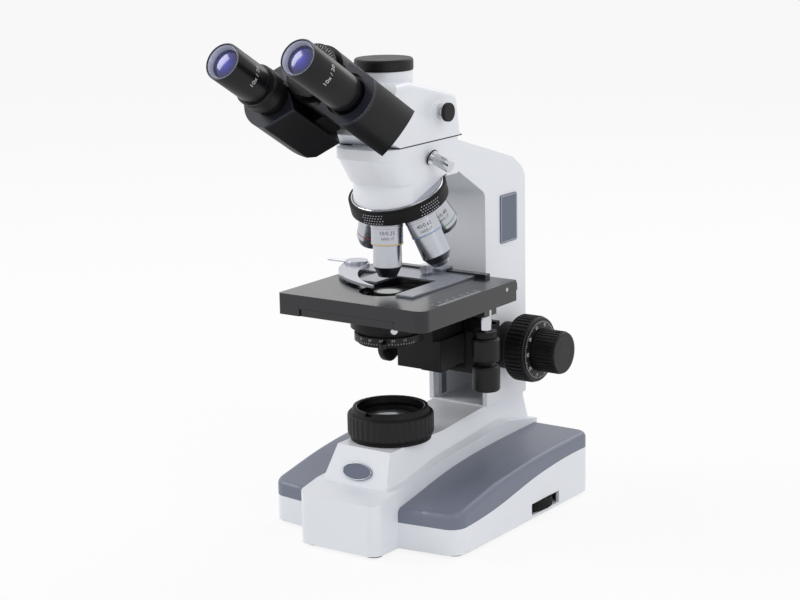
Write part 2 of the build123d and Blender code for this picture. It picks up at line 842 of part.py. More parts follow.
def condenser_carrier():
    """Condenser slide: gear box, riser and holding ring."""
    box = upright(block(-21.5, 21.5, 40, 80.2, 125, 150), 3)
    box += block(-18, 18, 36, 80.2, 150, 178) + block(-18, 18, 18, 40, 170, 178)
    hold = ring(RING_HOLD_R, CONDENSER_R + RUN, 170, 178)
    bar_gap = block(-10.3, 10.3, 59.7, 90, 100, 190)
    well = cross_bar(6.2, -8, 8, 54, 137.5)
    lens_well = disc(CONDENSER_R + RUN, 140, 190) + disc(29, 150, 170)
    return box + hold - bar_gap - well - lens_well - cross_bar(3 + RUN, -40, 16, 54, 137.5)


def condenser_knob():
    """Knob and pinion shaft that raise the condenser."""
    knob = cross_bar(13.3, -41.1, -35, 54, 137.5)
    edges = knob.edges().filter_by(GeomType.CIRCLE)
    knob = fillet(edges, 0.8)
    return knob + cross_bar(3, -35, 15.8, 54, 137.5) + cross_bar(5.9, -7.7, 7.7, 54, 137.5)


def condenser():
    """Condenser body with its shoulder on the holding ring, and the top lens's cell."""
    points = [
        (20, 157),
        (CONDENSER_R, 157),
        (CONDENSER_R, 178),
        (27.5, 178),
        (27.5, 182),
        (22, 185.5),
        (16.5, 188.5),
        (CELL_R, CELL_Z),
        (9.5, CELL_Z),
        (9.5, 191),
        (20, 178),
    ]
    cell = ring(CELL_R, 9.5, CELL_Z, CONDENSER_TOP)
    return Compound(children=[turned(points), cell])


def condenser_lens():
    """Top and bottom lenses of the condenser."""
    top = disc(9.44, 193.5, CONDENSER_TOP - 0.2)
    lower = disc(19.9, 159, 167)
    return Compound(children=[top, lower])


def iris_ring():
    """Scale ring of the aperture diaphragm with its lever."""
    band = ring(28, CONDENSER_R + RUN, 159.5, 165.5)
    lever = Rot(0, 0, -62) * (block(27, 41, -1.5, 1.5, 161, 164) + disc(2.6, 160.5, 164.5, 40, 0))
    return band + lever


def focus_knob(radius, x0, x1):
    """Knob on the focus axis with rounded rims."""
    knob = cross_bar(radius, x0, x1, DRIVE_Y, DRIVE_Z)
    return fillet(knob.edges().filter_by(GeomType.CIRCLE), 1.2)


def coarse_focus_knobs():
    """Coarse knobs on one hollow shaft with the pinion in its middle."""
    knobs = focus_knob(COARSE_R, 43.5, 63.3) + focus_knob(COARSE_R, -53, -35)
    shaft = cross_bar(5, -40, 50, DRIVE_Y, DRIVE_Z) + cross_bar(PINION_R, -8, 8, DRIVE_Y, DRIVE_Z)
    return knobs + shaft - cross_bar(3 + RUN, -80, 80, DRIVE_Y, DRIVE_Z)


def fine_focus_knobs():
    """Fine knobs on the inner shaft."""
    right = focus_knob(FINE_R, 63.6, 87.5)
    left = focus_knob(FINE_R, -71, -53.3)
    return right + left + cross_bar(3, -60, 70, DRIVE_Y, DRIVE_Z)


def write_nodes():
    """Writes each sub-part to its own file."""
    nodes = {
        "base_casting": base_casting,
        "wing_cap_left": lambda: wing_cap(-1),
        "wing_cap_right": lambda: wing_cap(1),
        "bottom_cover": bottom_cover,
        "rubber_feet": rubber_feet,
        "arm_casting": arm_casting,
        "badge_oval": badge_oval,
        "arm_plate": arm_plate,
        "guide_rails": guide_rails,
        "focus_bushes": focus_bushes,
        "lamp_holder": lamp_holder,
        "lamp_bulb": lamp_bulb,
        "collector_lens": collector_lens,
        "base_mirror": base_mirror,
        "illuminator_mount": illuminator_mount,
        "field_lens": field_lens,
        "field_ring": field_ring,
        "dimmer_wheel": dimmer_wheel,
        "circuit_board": circuit_board,
        "power_inlet": power_inlet,
        "rocker_switch": rocker_switch,
        "head_clamp_screw": head_clamp_screw,
        "nosepiece_mount": nosepiece_mount,
        "nosepiece_turret": nosepiece_turret,
        "objective_4x": objective_4x,
        "objective_10x": objective_10x,
        "objective_20x": objective_20x,
        "objective_40x": objective_40x,
        "port_plug": port_plug,
        "head_casting": head_casting,
        "beam_rod": beam_rod,
        "beam_prism": beam_prism,
        "interpupillary_hub": interpupillary_hub,
        "right_tube_housing": right_tube_housing,
        "right_prism": right_prism,
        "right_face_plate": right_face_plate,
        "left_tube_housing": left_tube_housing,
        "left_prism": left_prism,
        "left_face_plate": left_face_plate,
        "eyepiece_right": eyepiece_right,
        "eyepiece_right_lens": eyepiece_right_lens,
        "eyepiece_left": eyepiece_left,
        "eyepiece_left_lens": eyepiece_left_lens,
        "diopter_ring": diopter_ring,
        "photo_port_cap": photo_port_cap,
        "focus_carrier": focus_carrier,
        "focus_rack": focus_rack,
        "stage_lower_plate": stage_lower_plate,
        "stage_upper_plate": stage_upper_plate,
        "slide_holder": slide_holder,
        "clip_finger": clip_finger,
        "stage_y_knob": stage_y_knob,
        "stage_x_knob": stage_x_knob,
        "condenser_carrier": condenser_carrier,
        "condenser": condenser,
        "condenser_lens": condenser_lens,
        "iris_ring": iris_ring,
        "condenser_knob": condenser_knob,
        "coarse_focus_knobs": coarse_focus_knobs,
        "fine_focus_knobs": fine_focus_knobs,
    }
    os.makedirs("parts", exist_ok=True)
    for name, build in nodes.items():
        export_step(build(), f"parts/{name}.step")


if __name__ == "__main__":
    write_nodes()
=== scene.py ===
import functools
import logging
import math
from dataclasses import dataclass
from enum import Enum
from typing import Any, Callable, Optional, Sequence, Union

import bmesh
import bpy
from mathutils import Matrix, Vector


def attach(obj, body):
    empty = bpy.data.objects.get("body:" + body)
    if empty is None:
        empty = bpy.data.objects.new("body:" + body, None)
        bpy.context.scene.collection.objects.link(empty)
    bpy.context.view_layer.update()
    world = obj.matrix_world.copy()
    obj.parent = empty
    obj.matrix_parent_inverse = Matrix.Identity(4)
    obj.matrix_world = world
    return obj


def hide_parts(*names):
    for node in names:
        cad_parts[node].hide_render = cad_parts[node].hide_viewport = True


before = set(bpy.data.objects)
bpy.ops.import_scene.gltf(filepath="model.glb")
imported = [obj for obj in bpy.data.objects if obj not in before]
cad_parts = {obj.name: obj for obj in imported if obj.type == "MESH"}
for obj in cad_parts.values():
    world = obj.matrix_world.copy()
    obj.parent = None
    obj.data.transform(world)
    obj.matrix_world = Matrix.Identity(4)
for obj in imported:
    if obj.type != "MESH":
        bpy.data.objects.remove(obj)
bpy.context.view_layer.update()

# The shapes are worked out in millimetres and stored in metres.
MM = 0.001
LOG = logging.getLogger("microscope")
Number = Union[float, "Signal"]
Profile = Sequence[tuple[float, float]]
Placing = Callable[[Vector], Vector]


class Signal:
    """One output socket of a shader, with operators that add Math nodes."""

    def __init__(self, board: "Board", socket: bpy.types.NodeSocket) -> None:
        """Wraps a socket of a board."""
        self.board = board
        self.socket = socket

    def _maths(self, operation: str, *terms: Number) -> "Signal":
        """Adds one Math node for an operation on the terms."""
        return self.board.node("ShaderNodeMath", {"operation": operation}, dict(enumerate(terms)))

    def __add__(self, other: Number) -> "Signal":
        """Sum."""
        return self._maths("ADD", self, other)

    def __radd__(self, other: Number) -> "Signal":
        """Sum with a number first."""
        return self._maths("ADD", other, self)

    def __sub__(self, other: Number) -> "Signal":
        """Difference."""
        return self._maths("SUBTRACT", self, other)

    def __rsub__(self, other: Number) -> "Signal":
        """Difference with a number first."""
        return self._maths("SUBTRACT", other, self)

    def __mul__(self, other: Number) -> "Signal":
        """Product."""
        return self._maths("MULTIPLY", self, other)

    def __rmul__(self, other: Number) -> "Signal":
        """Product with a number first."""
        return self._maths("MULTIPLY", other, self)

    def __gt__(self, other: Number) -> "Signal":
        """One where this is above the other, else zero."""
        return self._maths("GREATER_THAN", self, other)

    def __pow__(self, other: Number) -> "Signal":
        """Power."""
        return self._maths("POWER", self, other)

    def clamped(self) -> "Signal":
        """The same value kept between zero and one."""
        return self._maths("MINIMUM", self._maths("MAXIMUM", self, 0.0), 1.0)


class Board:
    """Node tree of one material."""

    def __init__(self, name: str) -> None:
        """Starts an empty material."""
        self.material = bpy.data.materials.new(name)
        self.material.use_nodes = True
        self.tree = self.material.node_tree
        self.tree.nodes.clear()

    @classmethod
    def over(cls, tree: bpy.types.NodeTree) -> "Board":
        """Board over a tree that is there already, emptied."""
        board = cls.__new__(cls)
        board.tree = tree
        tree.nodes.clear()
        return board

    def node(
        self,
        kind: str,
        settings: Optional[dict[str, Any]] = None,
        inputs: Optional[dict[Any, Any]] = None,
        output: Union[int, str] = 0,
    ) -> Signal:
        """Adds a node.

        Args:
            kind: The node's type.
            settings: Properties set first, with "stops" for a ramp.
            inputs: Values or signals by socket name or number.
            output: The output socket to return.

        Returns:
            The chosen output.
        """
        made = self.tree.nodes.new(kind)
        for key, value in (settings or {}).items():
            if key == "stops":
                self._set_stops(made.color_ramp, value)
            else:
                setattr(made, key, value)
        for key, value in (inputs or {}).items():
            if isinstance(value, Signal):
                self.tree.links.new(value.socket, made.inputs[key])
            else:
                made.inputs[key].default_value = value
        return Signal(self, made.outputs[output]) if made.outputs else Signal(self, None)

    @staticmethod
    def _set_stops(ramp: bpy.types.ColorRamp, stops: Sequence[tuple[float, tuple]]) -> None:
        """Gives a ramp its stops."""
        while len(ramp.elements) < len(stops):
            ramp.elements.new(0.5)
        for element, (position, colour) in zip(ramp.elements, stops):
            element.position = position
            element.color = colour

    def blend(self, factor: Number, first: Any, second: Any) -> Signal:
        """Mixes two colours."""
        return self.node("ShaderNodeMix", {"data_type": "RGBA"}, {0: factor, 6: first, 7: second}, 2)

    def place(self) -> Signal:
        """Position on the object, in metres."""
        return self.node("ShaderNodeTexCoord", output="Object")

    def cloud(self, size: float, detail: float = 2.0, stretch: Optional[tuple] = None) -> Signal:
        """Soft noise whose patches are about size millimetres across."""
        where = self.place()
        if stretch:
            where = self.node("ShaderNodeMapping", None, {"Vector": where, "Scale": stretch})
        inputs = {"Vector": where, "Scale": 1 / (size * MM), "Detail": detail}
        return self.node("ShaderNodeTexNoise", None, inputs)

    def close(self, shader: Signal) -> bpy.types.Material:
        """Links the shader to the surface."""
        self.node("ShaderNodeOutputMaterial", None, {"Surface": shader})
        return self.material


def linear(colour: Sequence[float]) -> tuple[float, float, float, float]:
    """Display colour of 0 to 255 as a scene colour."""
    shares = [c / 255 for c in colour]
    values = [s / 12.92 if s <= 0.04045 else ((s + 0.055) / 1.055) ** 2.4 for s in shares]
    return (*values, 1.0)


def scaled(colour: Sequence[float], factor: float) -> tuple[float, float, float, float]:
    """Scene colour made darker or lighter."""
    return (*[min(1.0, c * factor) for c in linear(colour)[:3]], 1.0)


class Texture(Enum):
    """What a finish shows close up."""

    PAINT = "paint"
    MOULDED = "moulded"
    BRUSHED = "brushed"
    CAST = "cast"


@dataclass(frozen=True)
class Finish:
    """Colour and surface of one kind of part."""

    name: str
    slot: str
    colour: tuple[int, int, int]
    roughness: float
    texture: Texture = Texture.PAINT
    metallic: float = 0.0
    coat: float = 0.0
    mottle: float = 0.05
    grain: float = 0.01
    grain_size: float = 1.2
    rounding: float = 0.5
    dust: float = 0.0
    smear: float = 0.1
    specular: float = 0.5

    @functools.cache
    def material(self) -> bpy.types.Material:
        """Node material of the finish."""
        board = Board(self.name)
        patches = board.cloud(45.0, 3.0)
        tint = board.blend(patches, scaled(self.colour, 1 - self.mottle), scaled(self.colour, 1 + self.mottle))
        handled = board.cloud(9.0, 4.0)
        rough = self.roughness + (handled - 0.5) * self.smear
        if self.texture is Texture.BRUSHED:
            lines = board.cloud(0.35, 2.0, (0.02, 0.02, 1.0))
            rough = rough + (lines - 0.5) * 0.05
            tint = board.blend(lines, tint, scaled(self.colour, 0.97))
        if self.texture is Texture.MOULDED:
            speck = board.cloud(0.7, 2.0)
            tint = board.blend((speck > 0.62) * 0.3, tint, scaled(self.colour, 1.3))
        if self.dust:
            up = board.node("ShaderNodeSeparateXYZ", None, {0: board.node("ShaderNodeNewGeometry", output="Normal")}, 2)
            film = (up * 1.4 - 0.5).clamped() * (handled + 0.2) * self.dust
            tint = board.blend(film, tint, linear((190, 190, 188)))
            rough = rough + film * 0.3
        shader = {
            "Base Color": tint,
            "Roughness": rough.clamped(),
            "Metallic": self.metallic,
            "Coat Weight": self.coat,
            "Coat Roughness": 0.12,
            "Specular IOR Level": self.specular,
            "Normal": self._relief(board),
        }
        return board.close(board.node("ShaderNodeBsdfPrincipled", None, shader))

    def _relief(self, board: Board) -> Signal:
        """Soft edge normal with the surface's own fine grain on it."""
        edge = board.node("ShaderNodeBevel", {"samples": 4}, {"Radius": self.rounding * MM})
        height = board.cloud(self.grain_size, 2.0)
        if self.texture is Texture.CAST:
            height = height + board.cloud(self.grain_size * 3.1, 1.0) * 0.8
        inputs = {"Height": height, "Distance": self.grain * MM, "Normal": edge}
        return board.node("ShaderNodeBump", None, inputs)


@dataclass(frozen=True)
class LensFinish:
    """Coated glass whose colour is painted reflection and shade: lighter in the middle, dark at the rim."""

    name: str
    middle: tuple[int, int, int]
    between: tuple[int, int, int]
    rim: tuple[int, int, int]
    slot: str = "glass"

    @functools.cache
    def material(self) -> bpy.types.Material:
        """Node material of the lens."""
        board = Board(self.name)
        reach = board.node("ShaderNodeAttribute", {"attribute_name": "reach"}, output="Fac")
        smear = board.cloud(3.0, 3.0)
        where = (reach + (smear - 0.5) * 0.06).clamped()
        # Painted reflection and shade: the middle colour paints the lens's reflection, the darker ring and rim paint
        # its shade.
        stops = [(0.0, linear(self.middle)), (0.62, linear(self.between)), (0.97, linear(self.rim))]
        tint = board.node("ShaderNodeValToRGB", {"stops": stops}, {0: where})
        shader = {
            "Base Color": tint,
            "Roughness": 0.12 + smear * 0.06,
            "Coat Weight": 0.5,
            "Coat Roughness": 0.06,
            "IOR": 1.6,
        }
        return board.close(board.node("ShaderNodeBsdfPrincipled", None, shader))


AnyFinish = Union[Finish, LensFinish]

BODY_WHITE = Finish("body_white", "white_paint", (236, 239, 245), 0.34, coat=0.25, mottle=0.01, grain=0.018, dust=0.03)
WING_BLUE = Finish("wing_blue", "wing_paint", (112, 118, 136), 0.42, coat=0.15, mottle=0.03, grain=0.02, dust=0.05)
PLATE_SLATE = Finish("plate_slate", "plate_slate", (96, 104, 124), 0.4, mottle=0.03, grain=0.01)
TUBE_SLATE = Finish("tube_slate", "plate_slate", (30, 32, 42), 0.42, mottle=0.04, grain=0.012, specular=0.3)
BLACK_SATIN = Finish("black_satin", "black_satin", (15, 15, 18), 0.46, coat=0.06, mottle=0.05, grain=0.02, specular=0.2)
BARREL_BLACK = Finish("barrel_black", "black_satin", (11, 11, 15), 0.34, coat=0.12, mottle=0.05, grain=0.008, specular=0.25)
MOULDED_BLACK = Finish(
    "moulded_black", "black_plastic", (12, 12, 14), 0.55, Texture.MOULDED, mottle=0.08, grain=0.05, grain_size=0.6,
    specular=0.22,
)
KNOB_BLACK = Finish(
    "knob_black", "black_plastic", (11, 11, 13), 0.46, Texture.MOULDED, mottle=0.08, grain=0.03, grain_size=0.5, rounding=0.12,
    specular=0.32,
)
STAGE_DARK = Finish("stage_dark", "stage_grey", (15, 16, 23), 0.2, coat=0.15, mottle=0.03, grain=0.003, dust=0.02)
REST_GREY = Finish("rest_grey", "stage_grey", (152, 156, 166), 0.3, Texture.BRUSHED, 0.75, mottle=0.05)
SATIN_CHROME = Finish("satin_chrome", "satin_chrome", (188, 190, 198), 0.24, Texture.BRUSHED, 1.0, mottle=0.02, grain=0.001, smear=0.04)
POLISHED = Finish("polished_steel", "bright_steel", (200, 201, 206), 0.12, Texture.BRUSHED, 1.0, mottle=0.02, grain=0.001, smear=0.04)
BRASS = Finish("lacquered_brass", "brass", (190, 158, 92), 0.26, Texture.BRUSHED, 1.0, mottle=0.05, grain=0.004)
# Light grey knurl tips: painted glints on the black ring.
KNURL_GLINT = Finish("knurl_painted_glint", "satin_chrome", (176, 178, 186), 0.4, grain=0.004, rounding=0.05)
# Darker metal that paints the shade on the objectives' lower tapers.
TAPER_SHADE_GREY = Finish("taper_painted_shade", "satin_chrome", (84, 86, 98), 0.3, Texture.BRUSHED, 0.9, mottle=0.04, grain=0.004)
EYE_BEVEL = Finish("eye_bevel", "bright_steel", (200, 202, 222), 0.35, Texture.BRUSHED, 0.3, mottle=0.04, grain=0.004)
EDGE_LINE = Finish("edge_line", "plate_slate", (104, 108, 122), 0.35, mottle=0.04, grain=0.004, rounding=0.05)
RAIL_GREY = Finish("carrier_grey", "carrier_grey", (120, 122, 126), 0.4, Texture.BRUSHED, 0.7, mottle=0.05, grain=0.01)
RUBBER = Finish("foot_rubber", "rubber", (24, 24, 25), 0.78, Texture.CAST, mottle=0.1, grain=0.06, grain_size=0.5, dust=0.15)
BOARD_GREEN = Finish("board_green", "board", (26, 84, 54), 0.42, coat=0.3, mottle=0.1, grain=0.02, grain_size=0.8)
MIRROR = Finish("silvered_glass", "mirror", (222, 226, 228), 0.05, metallic=1.0, mottle=0.01, grain=0.0005)
GLASS_BLOCK = Finish("prism_glass", "glass", (196, 210, 214), 0.06, coat=0.8, mottle=0.02, grain=0.0005)
PRINT_WHITE = Finish("printed_white", "white_paint", (214, 216, 218), 0.5, mottle=0.06, grain=0.004, rounding=0.05)
# Black for printed numbers, also used for the painted shade round the stage's front recess.
PRINT_AND_SHADE_BLACK = Finish("printed_black_and_painted_shade", "black_satin", (16, 16, 20), 0.5, mottle=0.1, grain=0.004, rounding=0.05)
BAND_YELLOW = Finish("band_yellow", "brass", (228, 190, 46), 0.4, mottle=0.05, grain=0.004)
BAND_BLUE = Finish("band_blue", "wing_paint", (92, 150, 206), 0.4, mottle=0.05, grain=0.004)
BAND_GREEN = Finish("band_green", "board", (74, 150, 86), 0.4, mottle=0.05, grain=0.004)
BAND_RED = Finish("band_red", "brass", (178, 54, 44), 0.4, mottle=0.05, grain=0.004)
EYE_GLASS = LensFinish("eye_glass", (58, 66, 190), (26, 28, 132), (12, 12, 60))
FIELD_GLASS = LensFinish("field_glass", (70, 74, 80), (34, 36, 40), (14, 15, 17))


@dataclass(frozen=True)
class Ribs:
    """Grooves along a turned surface."""

    count: int
    depth: float
    low: float
    high: float
    least_radius: float = 0.0


class Form:
    """Mesh in the making. Its points are given in millimetres."""

    def __init__(self, name: str) -> None:
        """Starts an empty form.

        Args:
            name: The piece's name.
        """
        self.name = name
        self.mesh = bmesh.new()
        self.reach = self.mesh.verts.layers.float.new("reach")

    def _face(self, corners: Sequence[bmesh.types.BMVert]) -> None:
        """Adds a face, leaving out corners that meet."""
        unique = list(dict.fromkeys(corners))
        if len(unique) > 2 and not self.mesh.faces.get(unique):
            self.mesh.faces.new(unique)

    def turned(
        self, profile: Profile, place: Matrix, sides: int = 72, ribs: Sequence[Ribs] = (), cone: float = 0.0
    ) -> "Form":
        """Turns a profile about Z. A profile that starts away from the axis closes on itself.

        Args:
            profile: Points of radius and height.
            place: Frame whose Z is the axis.
            sides: Steps round the axis, where no ribs set them.
            ribs: Grooves cut into the surface, with at most one count.
            cone: Phase of the ribs, in steps.

        Returns:
            The form itself.
        """
        if ribs:
            sides = 4 * ribs[0].count
        far = max(radius for radius, _ in profile)
        rows = []
        for radius, height in profile:
            row = []
            for step in range(sides if radius else 1):
                cut = sum(
                    rib.depth
                    for rib in ribs
                    if rib.low <= height <= rib.high and radius > rib.least_radius and (step + cone) % 4 >= 2
                )
                angle = math.tau * step / sides
                reach = radius - cut
                vert = self.mesh.verts.new(place @ Vector((reach * math.cos(angle), reach * math.sin(angle), height)))
                vert[self.reach] = radius / far if far else 0.0
                row.append(vert)
            rows.append(row)
        pairs = list(zip(rows, rows[1:]))
        if profile[0][0]:
            pairs.append((rows[-1], rows[0]))
        for low, high in pairs:
            for step in range(sides):
                after = (step + 1) % sides
                corners = [low[step % len(low)], low[after % len(low)], high[after % len(high)], high[step % len(high)]]
                self._face(corners)
        return self

    def prism(self, outline: Profile, low: float, high: float, placing: Union[Matrix, Placing]) -> "Form":
        """Adds a straight block over an outline of (x, y) points."""
        move = (lambda p: placing @ p) if isinstance(placing, Matrix) else placing
        rows = [[self.mesh.verts.new(move(Vector((x, y, z)))) for x, y in outline] for z in (low, high)]
        count = len(outline)
        for i in range(count):
            j = (i + 1) % count
            self._face([rows[0][i], rows[0][j], rows[1][j], rows[1][i]])
        self._face(rows[0][::-1])
        self._face(rows[1])
        return self

    def band(self, outer: Profile, inner: Profile, low: float, high: float, place: Matrix) -> "Form":
        """Adds a closed frame between two outlines of the same count."""
        loops = [(outer, low), (outer, high), (inner, high), (inner, low)]
        rows = [[self.mesh.verts.new(place @ Vector((x, y, z))) for x, y in line] for line, z in loops]
        count = len(outer)
        for first, second in zip(rows, rows[1:] + rows[:1]):
            for i in range(count):
                j = (i + 1) % count
                self._face([first[i], first[j], second[j], second[i]])
        return self

    def wire(self, path: Sequence[Vector], radius: float, sides: int = 10, closed: bool = False) -> "Form":
        """Adds a round wire along a path."""
        rows = []
        count = len(path)
        for i, point in enumerate(path):
            before = path[(i - 1) % count] if closed or i else point
            after = path[(i + 1) % count] if closed or i < count - 1 else point
            along = (after - before).normalized()
            side = along.cross(Vector((0.123, 0.456, 0.88))).normalized()
            lift = along.cross(side)
            turn = [math.tau * k / sides for k in range(sides)]
            rows.append([self.mesh.verts.new(point + radius * (side * math.cos(t) + lift * math.sin(t))) for t in turn])
        pairs = list(zip(rows, rows[1:])) + ([(rows[-1], rows[0])] if closed else [])
        for first, second in pairs:
            for k in range(sides):
                m = (k + 1) % sides
                self._face([first[k], first[m], second[m], second[k]])
        if not closed:
            self._face(rows[0][::-1])
            self._face(rows[-1])
        return self

    def words(self, text: str, height: float, depth: float, placing: Placing) -> "Form":
        """Adds generic lettering, centred on the placing's origin."""
        curve = bpy.data.curves.new("lettering", "FONT")
        curve.body = text
        curve.size = height
        curve.align_x = "CENTER"
        curve.align_y = "CENTER"
        curve.resolution_u = 2
        curve.extrude = depth / 2
        holder = bpy.data.objects.new("lettering", curve)
        made = bpy.data.meshes.new_from_object(holder)
        verts = [self.mesh.verts.new(placing(v.co + Vector((0, 0, depth / 2)))) for v in made.vertices]
        for polygon in made.polygons:
            self._face([verts[i] for i in polygon.vertices])
        bpy.data.objects.remove(holder)
        bpy.data.curves.remove(curve)
        bpy.data.meshes.remove(made)
        return self

    def softened(self, width: float, angle: float = 30.0) -> "Form":
        """Rounds the sharp edges made so far."""
        bmesh.ops.remove_doubles(self.mesh, verts=self.mesh.verts, dist=1e-4)
        bmesh.ops.recalc_face_normals(self.mesh, faces=self.mesh.faces)
        limit = math.radians(angle)
        edges = [e for e in self.mesh.edges if len(e.link_faces) == 2 and e.calc_face_angle(0.0) > limit]
        bmesh.ops.bevel(self.mesh, geom=edges, offset=width, segments=2, profile=0.7, affect="EDGES", clamp_overlap=True)
        return self

    def piece(self, finish: AnyFinish, body: str, *stands_for: str, smooth: float = 32.0) -> bpy.types.Object:
        """Makes the object and lets it ride on a body.

        Args:
            finish: The piece's finish.
            body: The CAD body it rides on.
            stands_for: CAD nodes it stands for.
            smooth: Largest angle of a smooth edge, in degrees.

        Returns:
            The object.
        """
        bmesh.ops.remove_doubles(self.mesh, verts=self.mesh.verts, dist=1e-4)
        bmesh.ops.recalc_face_normals(self.mesh, faces=self.mesh.faces)
        bmesh.ops.scale(self.mesh, vec=(MM, MM, MM), verts=self.mesh.verts)
        data = bpy.data.meshes.new(self.name)
        self.mesh.to_mesh(data)
        self.mesh.free()
        data.shade_smooth()
        data.set_sharp_from_angle(angle=math.radians(smooth))
        data.materials.append(finish.material())
        made = bpy.data.objects.new(self.name, data)
        bpy.context.scene.collection.objects.link(made)
        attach(made, body)
        if stands_for:
            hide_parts(*stands_for)
        LOG.info("piece %s on %s", self.name, body)
        return made


def dress(finish: AnyFinish, *nodes: str) -> None:
    """Gives CAD nodes a finish and smooth shading.

    Args:
        finish: The finish.
        nodes: Names of the CAD nodes.
    """
    for name in nodes:
        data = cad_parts[name].data
        data.materials.clear()
        data.materials.append(finish.material())
        data.shade_smooth()
        data.set_sharp_from_angle(angle=math.radians(28))
        LOG.info("node %s in %s", name, finish.name)


def framed(origin: Sequence[float], along_x: Sequence[float], along_z: Sequence[float]) -> Matrix:
    """Frame with its X and Z directions, as the CAD's planes have them."""
    z = Vector(along_z).normalized()
    x = Vector(along_x)
    x = (x - z * x.dot(z)).normalized()
    y = z.cross(x)
    return Matrix.Translation(Vector(origin)) @ Matrix((x, y, z)).transposed().to_4x4()


def turn_z(degrees: float) -> Matrix:
    """Turn about Z."""
    return Matrix.Rotation(math.radians(degrees), 4, "Z")


def box_outline(x0: float, x1: float, y0: float, y1: float) -> Profile:
    """Corners of a rectangle."""
    return [(x0, y0), (x1, y0), (x1, y1), (x0, y1)]


def wrapped(place: Matrix, radius: float, turn: float, height: float, flip: float = 1.0) -> Placing:
    """Placing that lays flat marks round a cylinder.

    Args:
        place: Frame whose Z is the cylinder's axis.
        radius: The cylinder's radius.
        turn: Where the middle of the marks is, in degrees.
        height: Height of their middle.
        flip: Minus one where Z points down for the reader.

    Returns:
        The placing.
    """

    def put(point: Vector) -> Vector:
        """Point of the flat marks on the cylinder."""
        angle = math.radians(turn) + flip * point.x / radius
        reach = radius + point.z
        return place @ Vector((reach * math.cos(angle), reach * math.sin(angle), height + flip * point.y))

    return put


def sleeve(radius: float, low: float, high: float, proud: float, sunk: float = 0.3) -> Profile:
    """Profile of a thin band over a cylinder, with small bevels."""
    edge = min(proud, (high - low) / 4) * 0.6
    outer = radius + proud
    return [(radius - sunk, low), (outer - edge, low), (outer, low + edge), (outer, high - edge), (outer - edge, high), (radius - sunk, high)]




ORIGIN = Matrix.Identity(4)
APEX = Vector((0, 0, 320))
TILT = math.radians(20)
PIVOT = framed(APEX, (1, 0, 0), (0, math.sin(TILT), -math.cos(TILT)))
FOCUS_AXIS = framed((0, 130, 129.7), (0, 1, 0), (1, 0, 0))
CONDENSER_AXIS = framed((0, 54, 137.5), (0, 1, 0), (1, 0, 0))
STAGE_DRIVE = Matrix.Translation(Vector((55, 59, 0)))


def port(index: int) -> Matrix:
    """Frame of one nosepiece port, with its origin on the objective's seat."""
    tilt = Matrix.Rotation(-TILT, 4, "X")
    return PIVOT @ turn_z(-72.0 * index) @ tilt @ Matrix.Translation(Vector((0, 0, 66)))


@dataclass
class Base:
    """Base casting with its caps, feet, lamp parts and rear sockets."""

    wheel_x: float = 70.5
    wheel_y: float = 91.0
    wheel_radius: float = 24.0
    badge_long: float = 14.0
    badge_high: float = 7.0

    def build(self) -> None:
        """Dresses the base and adds its small parts."""
        dress(BODY_WHITE, "base_casting", "bottom_cover")
        dress(WING_BLUE, "wing_cap_left", "wing_cap_right")
        dress(RUBBER, "rubber_feet")
        dress(PLATE_SLATE, "badge_oval")
        dress(SATIN_CHROME, "lamp_holder", "collector_lens")
        dress(GLASS_BLOCK, "lamp_bulb")
        dress(MIRROR, "base_mirror")
        dress(MOULDED_BLACK, "power_inlet", "rocker_switch")
        dress(BOARD_GREEN, "circuit_board")
        self._badge_rim()
        self._ribbed_wheel()
        self._foot_grooves()
        self._inlet_pins()
        self._rocker_marks()

    def _badge_rim(self) -> None:
        """Bright raised rim of the bare oval badge."""
        rise = 76.6 - 49
        at = (0, -52 + 14 * 0.37, 49 + rise * 0.37)
        place = framed(at, (1, 0, 0), (0, -rise, 14))
        turns = [math.tau * k / 64 for k in range(64)]
        line = [place @ Vector((13.6 * math.cos(t), 6.6 * math.sin(t), 1.45)) for t in turns]
        Form("badge_rim").wire(line, 0.42, 8, closed=True).piece(SATIN_CHROME, "stand")

    def _ribbed_wheel(self) -> None:
        """Dimmer wheel with grip ribs."""
        place = Matrix.Translation(Vector((self.wheel_x, self.wheel_y, 0)))
        outer, bore, bevel = self.wheel_radius, 3.1, 0.6
        profile = [(bore, 6), (outer - bevel, 6), (outer, 6 + bevel), (outer, 14 - bevel), (outer - bevel, 14), (bore, 14)]
        wheel = Form("ribbed_wheel").turned(profile, place, ribs=[Ribs(60, 0.45, 6.5, 13.5)])
        wheel.piece(MOULDED_BLACK, "dimmer", "dimmer_wheel", smooth=20)

    def _foot_grooves(self) -> None:
        """Raised rings on the feet's sides."""
        form = Form("foot_rings")
        for x, y in ((80, -29), (-80, -29), (80, 150), (-80, 150), (28, -66), (-28, -66)):
            form.turned(sleeve(7, 0.5, 2.1, 0.35), Matrix.Translation(Vector((x, y, 0))), 40)
        form.piece(RUBBER, "stand")

    def _inlet_pins(self) -> None:
        """Metal skins of the three contact pins."""
        form = Form("inlet_pins")
        for x, z in ((-55, 21), (-50, 25), (-45, 21)):
            outline = box_outline(x - 1.15, x + 1.15, z - 1.65, z + 1.65)
            form.prism(outline, 152.0, 163.3, lambda p: Vector((p.x, p.z, p.y)))
        form.softened(0.3).piece(POLISHED, "stand")

    def _rocker_marks(self) -> None:
        """On and off marks of the switch."""
        form = Form("rocker_marks")
        form.prism(box_outline(44.6, 45.4, 26.2, 29.6), 165.9, 166.66, lambda p: Vector((p.x, p.z, p.y)))
        circle = [Vector((45 + 1.5 * math.cos(t), 166.3, 17.2 + 1.5 * math.sin(t))) for t in steps(24)]
        form.wire(circle, 0.3, 6, closed=True)
        form.piece(PRINT_WHITE, "rocker")


def steps(count: int) -> list[float]:
    """Equal turns round a circle, in radians."""
    return [math.tau * k / count for k in range(count)]


